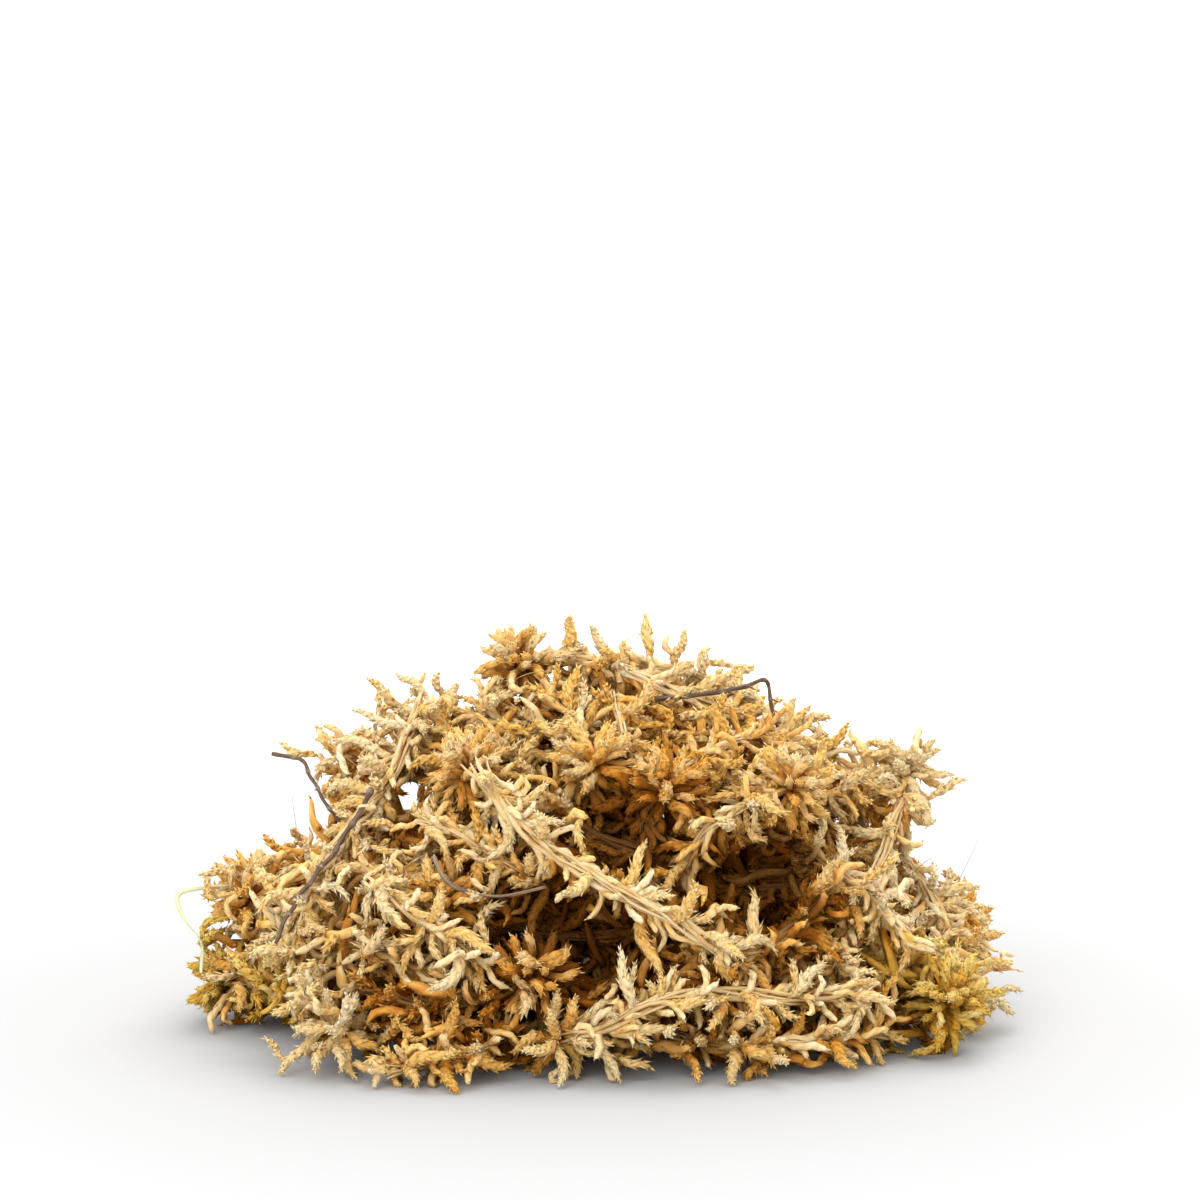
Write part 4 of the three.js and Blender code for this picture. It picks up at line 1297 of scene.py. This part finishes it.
@functools.lru_cache(None)
def flake_form():
    """A thin cupped scrap"""
    bm = bmesh.new()
    mark = bm.verts.layers.float.new("mark")
    bmesh.ops.create_uvsphere(bm, u_segments=7, v_segments=4, radius=1)
    for vert in bm.verts:
        ragged = 1 + 0.25 * math.sin(5 * vert.co.x + 3 * vert.co.y)
        vert[mark] = math.hypot(vert.co.x, vert.co.y)
        cup = 0.35 * (vert.co.x ** 2 + 0.6 * vert.co.y ** 2)
        vert.co = (vert.co.x * ragged, 0.12 * vert.co.z + cup, 0.5 + 0.5 * vert.co.y * ragged / 1.25)
    for face in bm.faces:
        face.smooth = True
    return Form("flake", bm)


def add_flakes(piece):
    """Curled scraps of old leaf, caught among the branches"""
    form = flake_form()
    for place, out, dice in surface_seats(bpy.context.scene.moss_sizes.flakes, 23):
        way = unit(np.array([dice.uniform(-1, 1) for _ in range(3)]) + 0.3 * out)
        shares = np.linspace(0, 1, 4)[:, None]
        line = place + way * (shares - 0.5) * dice.uniform(*FLAKE_LENGTHS)
        local = form.local.copy()
        local[:, :2] *= dice.uniform(*FLAKE_WIDTHS)
        piece.add(form, Spine(line), local, dice.random())


class Value:
    """A number in a material, which takes part in ordinary arithmetic"""

    def __init__(self, finish, socket):
        self.finish, self.socket = finish, socket

    def math(self, operation, *terms, clamp=False):
        settings = {"operation": operation, "use_clamp": clamp}
        node = self.finish.node("ShaderNodeMath", settings, dict(enumerate(terms)))
        return Value(self.finish, node.outputs[0])

    def __add__(self, other):
        return self.math("ADD", self, other)

    def __sub__(self, other):
        return self.math("SUBTRACT", self, other)

    def __rsub__(self, other):
        return self.math("SUBTRACT", other, self)

    def __mul__(self, other):
        return self.math("MULTIPLY", self, other)

    __radd__, __rmul__ = __add__, __mul__


class Finish:
    """A material, and the ways to add nodes to it"""

    def __init__(self, name):
        self.material = bpy.data.materials.new(name)
        self.material.use_nodes = True
        self.tree = self.material.node_tree
        self.tree.nodes.clear()

    def node(self, kind, settings=None, inputs=None):
        """Adds a node. Its settings come first, then the values or links of its sockets."""
        made = self.tree.nodes.new(kind)
        for key, value in (settings or {}).items():
            if key == "stops":
                self.set_stops(made.color_ramp, value)
            else:
                setattr(made, key, value)
        for key, value in (inputs or {}).items():
            source = value.socket if isinstance(value, Value) else value
            if isinstance(source, bpy.types.NodeSocket):
                self.tree.links.new(source, made.inputs[key])
            else:
                made.inputs[key].default_value = source
        return made

    def set_stops(self, ramp, stops):
        while len(ramp.elements) < len(stops):
            ramp.elements.new(1)
        for element, (position, colour) in zip(ramp.elements, stops):
            element.position, element.color = position, (*colour, 1)

    def attribute(self, name, output="Vector"):
        return self.node("ShaderNodeAttribute", {"attribute_name": name}).outputs[output]

    def look(self):
        """A branch's tint, the place along it, and how near a leaf's point it is"""
        parts = self.node("ShaderNodeSeparateXYZ", None, {0: self.attribute("look")})
        return [Value(self, parts.outputs[axis]) for axis in range(3)]

    def noise(self, vector, scale, detail):
        inputs = {"Vector": vector, "Scale": scale, "Detail": detail, "Roughness": 0.55}
        return Value(self, self.node("ShaderNodeTexNoise", None, inputs).outputs["Fac"])

    def stretched(self, vector, scale):
        settings = {"vector_type": "POINT"}
        return self.node("ShaderNodeMapping", settings, {"Vector": vector, "Scale": scale}).outputs[0]

    def mix(self, share, first, second, blend="MIX"):
        """A colour between the first and the second"""
        opaque = [(*colour, 1) if isinstance(colour, (tuple, list)) else colour
                  for colour in (first, second)]
        settings = {"data_type": "RGBA", "blend_type": blend}
        return self.node("ShaderNodeMix", settings, {0: share, 6: opaque[0], 7: opaque[1]}).outputs[2]

    def ramp(self, share, stops):
        return self.node("ShaderNodeValToRGB", {"stops": stops}, {"Fac": share}).outputs["Color"]

    def painted_shade(self, colour):
        """The colour with painted shade, which deepens where little light comes and is lost where none
        does
        """
        depth = Value(self, self.attribute("depth", "Fac"))
        shade = depth.math("MULTIPLY_ADD", depth, *SHADE_DEEPENS, clamp=True)
        colour = self.mix(shade, colour, colour, "MULTIPLY")
        shade = depth.math("MULTIPLY_ADD", depth, *SHADE_BLACKENS, clamp=True)
        return self.mix(shade, colour, tuple(bpy.context.scene.moss_colours.painted_shade))

    def bump(self, height, distance, strength):
        inputs = {"Height": height, "Distance": distance, "Strength": strength}
        return self.node("ShaderNodeBump", None, inputs).outputs["Normal"]

    def surface(self, inputs):
        shader = self.node("ShaderNodeBsdfPrincipled", None, inputs)
        self.node("ShaderNodeOutputMaterial", None, {"Surface": shader.outputs["BSDF"]})
        return self.material


def leaf_finish(tone):
    """Dry leaves: mottled and pale at their points, with painted shade that browns them where little
    light comes and at the feet of their leaves
    """
    finish = Finish(f"moss_{tone}")
    stops = palette(tone)
    tint, along, edge = finish.look()
    grain = finish.attribute("grain")
    place = finish.node("ShaderNodeTexCoord").outputs["Object"]
    patches = finish.noise(place, PATCHES_PER_METRE, 2)
    mottle = finish.noise(grain, 0.8, 3)
    streaks = finish.noise(finish.stretched(grain, (2.2, 2.2, 0.35)), 1.3, 3)
    adds = LEAF_PALENESS
    light = adds["least"] + adds["tint"] * tint + adds["edge"] * edge + adds["along"] * along
    light = light + adds["patches"] * (patches - 0.5) + adds["mottle"] * (mottle - 0.5)
    light = light + adds["streaks"] * (streaks - 0.5)
    colour = finish.painted_shade(finish.ramp(light, stops))
    # Painted shade: the feet of the leaves and the bare core take on the deepest colour, as if in the
    # shade between leaves
    painted_crevice_shade = 0.5 - edge * 0.9
    painted_crevice_shade = painted_crevice_shade.math("MAXIMUM", painted_crevice_shade, 0.0)
    colour = finish.mix(painted_crevice_shade, colour, stops[0][1])
    return finish.surface({
        "Base Color": colour,
        "Roughness": 0.62 + 0.3 * mottle,
        "Normal": finish.bump(mottle + streaks, *LEAF_BUMP),
        "Specular IOR Level": LEAF_GLOSS,
        "Subsurface Weight": 0.4,
        "Subsurface Radius": (1.0, 0.45, 0.12),
        "Subsurface Scale": 0.0008,
    })


def fibre_finish(tone, fineness=1.0, gloss=FIBRE_GLOSS):
    """Fibres, bark and blades: streaked along their length, with painted shade where little light comes
    and, on fibres, in the grooves between them
    """
    finish = Finish(f"moss_{tone}")
    tint, _, edge = finish.look()
    grain = finish.attribute("grain")
    across_it = 3.5 * fineness
    lines = finish.noise(finish.stretched(grain, (across_it, across_it, 0.12)), 1.6, 3)
    blotch = finish.noise(grain, 0.35, 2)
    adds = FIBRE_PALENESS
    light = adds["least"] + adds["tint"] * tint + adds["edge"] * edge
    light = light + adds["lines"] * (lines - 0.5) + adds["blotch"] * (blotch - 0.5)
    return finish.surface({
        "Base Color": finish.painted_shade(finish.ramp(light, palette(tone))),
        "Roughness": 0.6 + 0.25 * blotch,
        "Normal": finish.bump(lines, *FIBRE_BUMP),
        "Specular IOR Level": gloss,
    })


class MossSizes(bpy.types.PropertyGroup):
    leaf_size: FloatProperty(
        name="Leaf size", description="Makes every leaf larger or smaller",
        default=1.0, min=0.3, max=2.0, subtype="FACTOR")
    curl: FloatProperty(
        name="Curl", description="How strongly the branches curl towards their tips",
        default=1.0, min=0.0, max=2.0, subtype="FACTOR")
    stem_fibres: IntProperty(
        name="Stem fibres", description="The number of fibres in a stem", default=9, min=3, max=12)
    fibre_twist: FloatProperty(
        name="Fibre twist", description="Turns of a stem's fibres for each metre of stem",
        default=14.0, min=0.0, max=80.0)
    hair_radius: FloatProperty(
        name="Hair radius", description="Radius of the loose hairs",
        default=0.00006, min=0.00002, max=0.0005, unit="LENGTH", subtype="DISTANCE", precision=5)
    hairs: IntProperty(
        name="Hairs", description="The number of loose hairs", default=26, min=0, max=200)
    flakes: IntProperty(
        name="Flakes", description="The number of loose amber scraps", default=150, min=0, max=600)


# The colours of each tone, from the palest to the deepest
SHADES = ("pale", "body", "warm", "deep")
TONES = {
    "golden": ((0.725, 0.60, 0.375), (0.76, 0.515, 0.19), (0.69, 0.35, 0.052), (0.37, 0.135, 0.01)),
    "straw": ((0.735, 0.63, 0.425), (0.78, 0.605, 0.32), (0.76, 0.46, 0.135), (0.45, 0.19, 0.02)),
    "amber": ((0.74, 0.57, 0.31), (0.68, 0.40, 0.105), (0.57, 0.26, 0.032), (0.31, 0.10, 0.006)),
    "olive": ((0.725, 0.62, 0.295), (0.70, 0.495, 0.125), (0.57, 0.315, 0.036), (0.32, 0.135, 0.01)),
    "flake": ((0.80, 0.52, 0.17), (0.72, 0.36, 0.06), (0.58, 0.23, 0.025), (0.38, 0.12, 0.01)),
    "fibre": ((0.76, 0.65, 0.455), (0.74, 0.57, 0.32), (0.57, 0.36, 0.135), (0.23, 0.10, 0.022)),
    "hair": ((0.90, 0.80, 0.58), (0.72, 0.56, 0.34), (0.45, 0.30, 0.16), (0.15, 0.09, 0.05)),
    "bark": ((0.40, 0.32, 0.25), (0.17, 0.11, 0.07), (0.09, 0.055, 0.033), (0.03, 0.018, 0.012)),
    "sedge": ((0.60, 0.46, 0.30), (0.36, 0.25, 0.15), (0.20, 0.13, 0.08), (0.05, 0.03, 0.02)),
    "lichen": ((0.80, 0.84, 0.62), (0.68, 0.72, 0.44), (0.58, 0.60, 0.33), (0.36, 0.38, 0.18)),
}
# Painted shade: the colour that branches take where no light reaches them
PAINTED_SHADE_COLOUR = (0.075, 0.022, 0.003)


def colour_property(name, description, default):
    return FloatVectorProperty(name=name, description=description, default=default, size=3,
                               min=0.0, max=1.0, subtype="COLOR")


class MossColours(bpy.types.PropertyGroup):
    __annotations__ = {
        f"{tone}_{shade}": colour_property(f"{tone} {shade}".capitalize(),
                                           f"The {shade} shade of the {tone} parts", colour)
        for tone, colours in TONES.items() for shade, colour in zip(SHADES, colours)
    # The last colour is painted shade, which branches take where no light reaches them
    } | {"painted_shade": colour_property("Painted_shade", "Old growth deep in the heap", PAINTED_SHADE_COLOUR)}


def palette(tone):
    """A tone's colours, as the stops of a ramp"""
    colours = bpy.context.scene.moss_colours
    shades = [tuple(getattr(colours, f"{tone}_{shade}")) for shade in reversed(SHADES)]
    return list(zip(RAMP_PLACES, shades))


def floor_finish():
    """A pale floor with painted light, greyer near the clump and paler far off up to white"""
    finish = Finish("pale_floor")
    place = finish.node("ShaderNodeTexCoord").outputs["Object"]
    away = finish.node("ShaderNodeVectorMath", {"operation": "LENGTH"}, {0: place}).outputs[1]
    tone = finish.ramp(away, FLOOR_TONES)
    return finish.surface({"Base Color": tone, "Roughness": 0.9, "Specular IOR Level": 0.0})


class MOSS_OT_strands(bpy.types.Operator):
    """Builds the leafy strands: their twisted stems, leafy branches and heads"""

    bl_idname = "moss.strands"
    bl_label = "Leafy Strands"

    def execute(self, context):
        grown_room()
        fibre = fibre_finish("fibre")
        leaves = {tone: leaf_finish(tone) for tone in ("golden", "straw", "amber", "olive")}
        for index, strand in enumerate(STRANDS):
            if not strand.bare:
                piece = Piece()
                add_branches(piece, strand, index)
                add_fibres(piece, strand, index)
                piece.finish(f"{strand.name}_moss", strand.name, strand.tone,
                             [leaves[strand.tone], fibre])
        return {"FINISHED"}


class MOSS_OT_twigs(bpy.types.Operator):
    """Builds the dark knotty twigs"""

    bl_idname = "moss.twigs"
    bl_label = "Twigs"

    def execute(self, context):
        bark = fibre_finish("bark", COARSE, TWIG_GLOSS)
        for index, strand in enumerate(STRANDS):
            if strand.tone == "bark":
                piece = Piece()
                add_twig(piece, strand, index)
                piece.finish(f"{strand.name}_wood", strand.name, "bark", [bark])
        return {"FINISHED"}


class MOSS_OT_blades(bpy.types.Operator):
    """Builds the grass blade and the pale filament"""

    bl_idname = "moss.blades"
    bl_label = "Grass Blades"

    def execute(self, context):
        for index, strand in enumerate(STRANDS):
            if strand.tone in BLADES:
                piece = Piece()
                add_ribbon(piece, strand, index, *BLADES[strand.tone])
                finish = fibre_finish(strand.tone, COARSE, BLADE_GLOSS)
                piece.finish(f"{strand.name}_blade", strand.name, strand.tone, [finish])
        return {"FINISHED"}


class MOSS_OT_scraps(bpy.types.Operator):
    """Adds the loose hairs and the curled amber scraps"""

    bl_idname = "moss.scraps"
    bl_label = "Hairs and Scraps"

    def execute(self, context):
        hairs, flakes = Piece(), Piece()
        add_hairs(hairs)
        hairs.finish("loose_hairs", None, "straw", [fibre_finish("hair")])
        add_flakes(flakes)
        flakes.finish("amber_scraps", None, "amber", [leaf_finish("flake")])
        return {"FINISHED"}


class MOSS_OT_stage(bpy.types.Operator):
    """Builds the pale floor, the soft lights and the camera"""

    bl_idname = "moss.stage"
    bl_label = "Stage"

    def execute(self, context):
        scene = context.scene
        bm = bmesh.new()
        bmesh.ops.create_circle(bm, cap_ends=True, segments=64, radius=FLOOR_RADIUS)
        bmesh.ops.translate(bm, verts=bm.verts, vec=(0, 0, -FLOOR_DROP))
        mesh = bpy.data.meshes.new("floor")
        bm.to_mesh(mesh)
        bm.free()
        mesh.materials.append(floor_finish())
        floor = bpy.data.objects.new("floor", mesh)
        scene.collection.objects.link(floor)
        floor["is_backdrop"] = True
        for name, (size, power, place) in LIGHTS.items():
            light = bpy.data.lights.new(name, "AREA")
            light.shape, light.size, light.energy = "SQUARE", size, power
            lamp = bpy.data.objects.new(name, light)
            lamp.location = place
            aim = -lamp.location
            lamp.rotation_euler = aim.to_track_quat("-Z", "Y").to_euler()
            scene.collection.objects.link(lamp)
        scene.world = bpy.data.worlds.new("studio")
        scene.world.use_nodes = True
        background = scene.world.node_tree.nodes["Background"]
        background.inputs["Color"].default_value = (1, 1, 1, 1)
        background.inputs["Strength"].default_value = WORLD_LIGHT
        camera_data = bpy.data.cameras.new("camera")
        camera_data.lens, camera_data.sensor_width = CAMERA_LENS, CAMERA_SENSOR
        camera_data.clip_start, camera_data.clip_end = CAMERA_CLIP
        camera = bpy.data.objects.new("camera", camera_data)
        camera.location = CAMERA_PLACE
        camera.rotation_euler = (math.radians(90 - CAMERA_DIP), 0, 0)
        scene.collection.objects.link(camera)
        scene.camera = camera
        scene.view_settings.view_transform = "Standard"
        return {"FINISHED"}


BUILDERS = (MOSS_OT_strands, MOSS_OT_twigs, MOSS_OT_blades, MOSS_OT_scraps, MOSS_OT_stage)


class MOSS_PT_clump(bpy.types.Panel):
    """The sizes and colours of the clump, and the steps that build it"""

    bl_label = "Sphagnum Clump"
    bl_space_type = "VIEW_3D"
    bl_region_type = "UI"
    bl_category = "Moss"

    def draw(self, context):
        column = self.layout.column()
        for builder in BUILDERS:
            column.operator(builder.bl_idname)
        for group in (context.scene.moss_sizes, context.scene.moss_colours):
            for name in type(group).__annotations__:
                column.prop(group, name)


CLASSES = (MossSizes, MossColours, *BUILDERS, MOSS_PT_clump)


def register():
    for each in CLASSES:
        bpy.utils.register_class(each)
    bpy.types.Scene.moss_sizes = PointerProperty(type=MossSizes)
    bpy.types.Scene.moss_colours = PointerProperty(type=MossColours)


def unregister():
    del bpy.types.Scene.moss_colours
    del bpy.types.Scene.moss_sizes
    for each in reversed(CLASSES):
        bpy.utils.unregister_class(each)


def main():
    register()
    bpy.ops.moss.strands()
    bpy.ops.moss.twigs()
    bpy.ops.moss.blades()
    bpy.ops.moss.scraps()
    bpy.ops.moss.stage()
    boxes = {"cad": CAD_BOX, "visual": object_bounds()}
    sizes = {name: [list(corner) for corner in box] for name, box in boxes.items()}


if __name__ == "__main__":
    main()
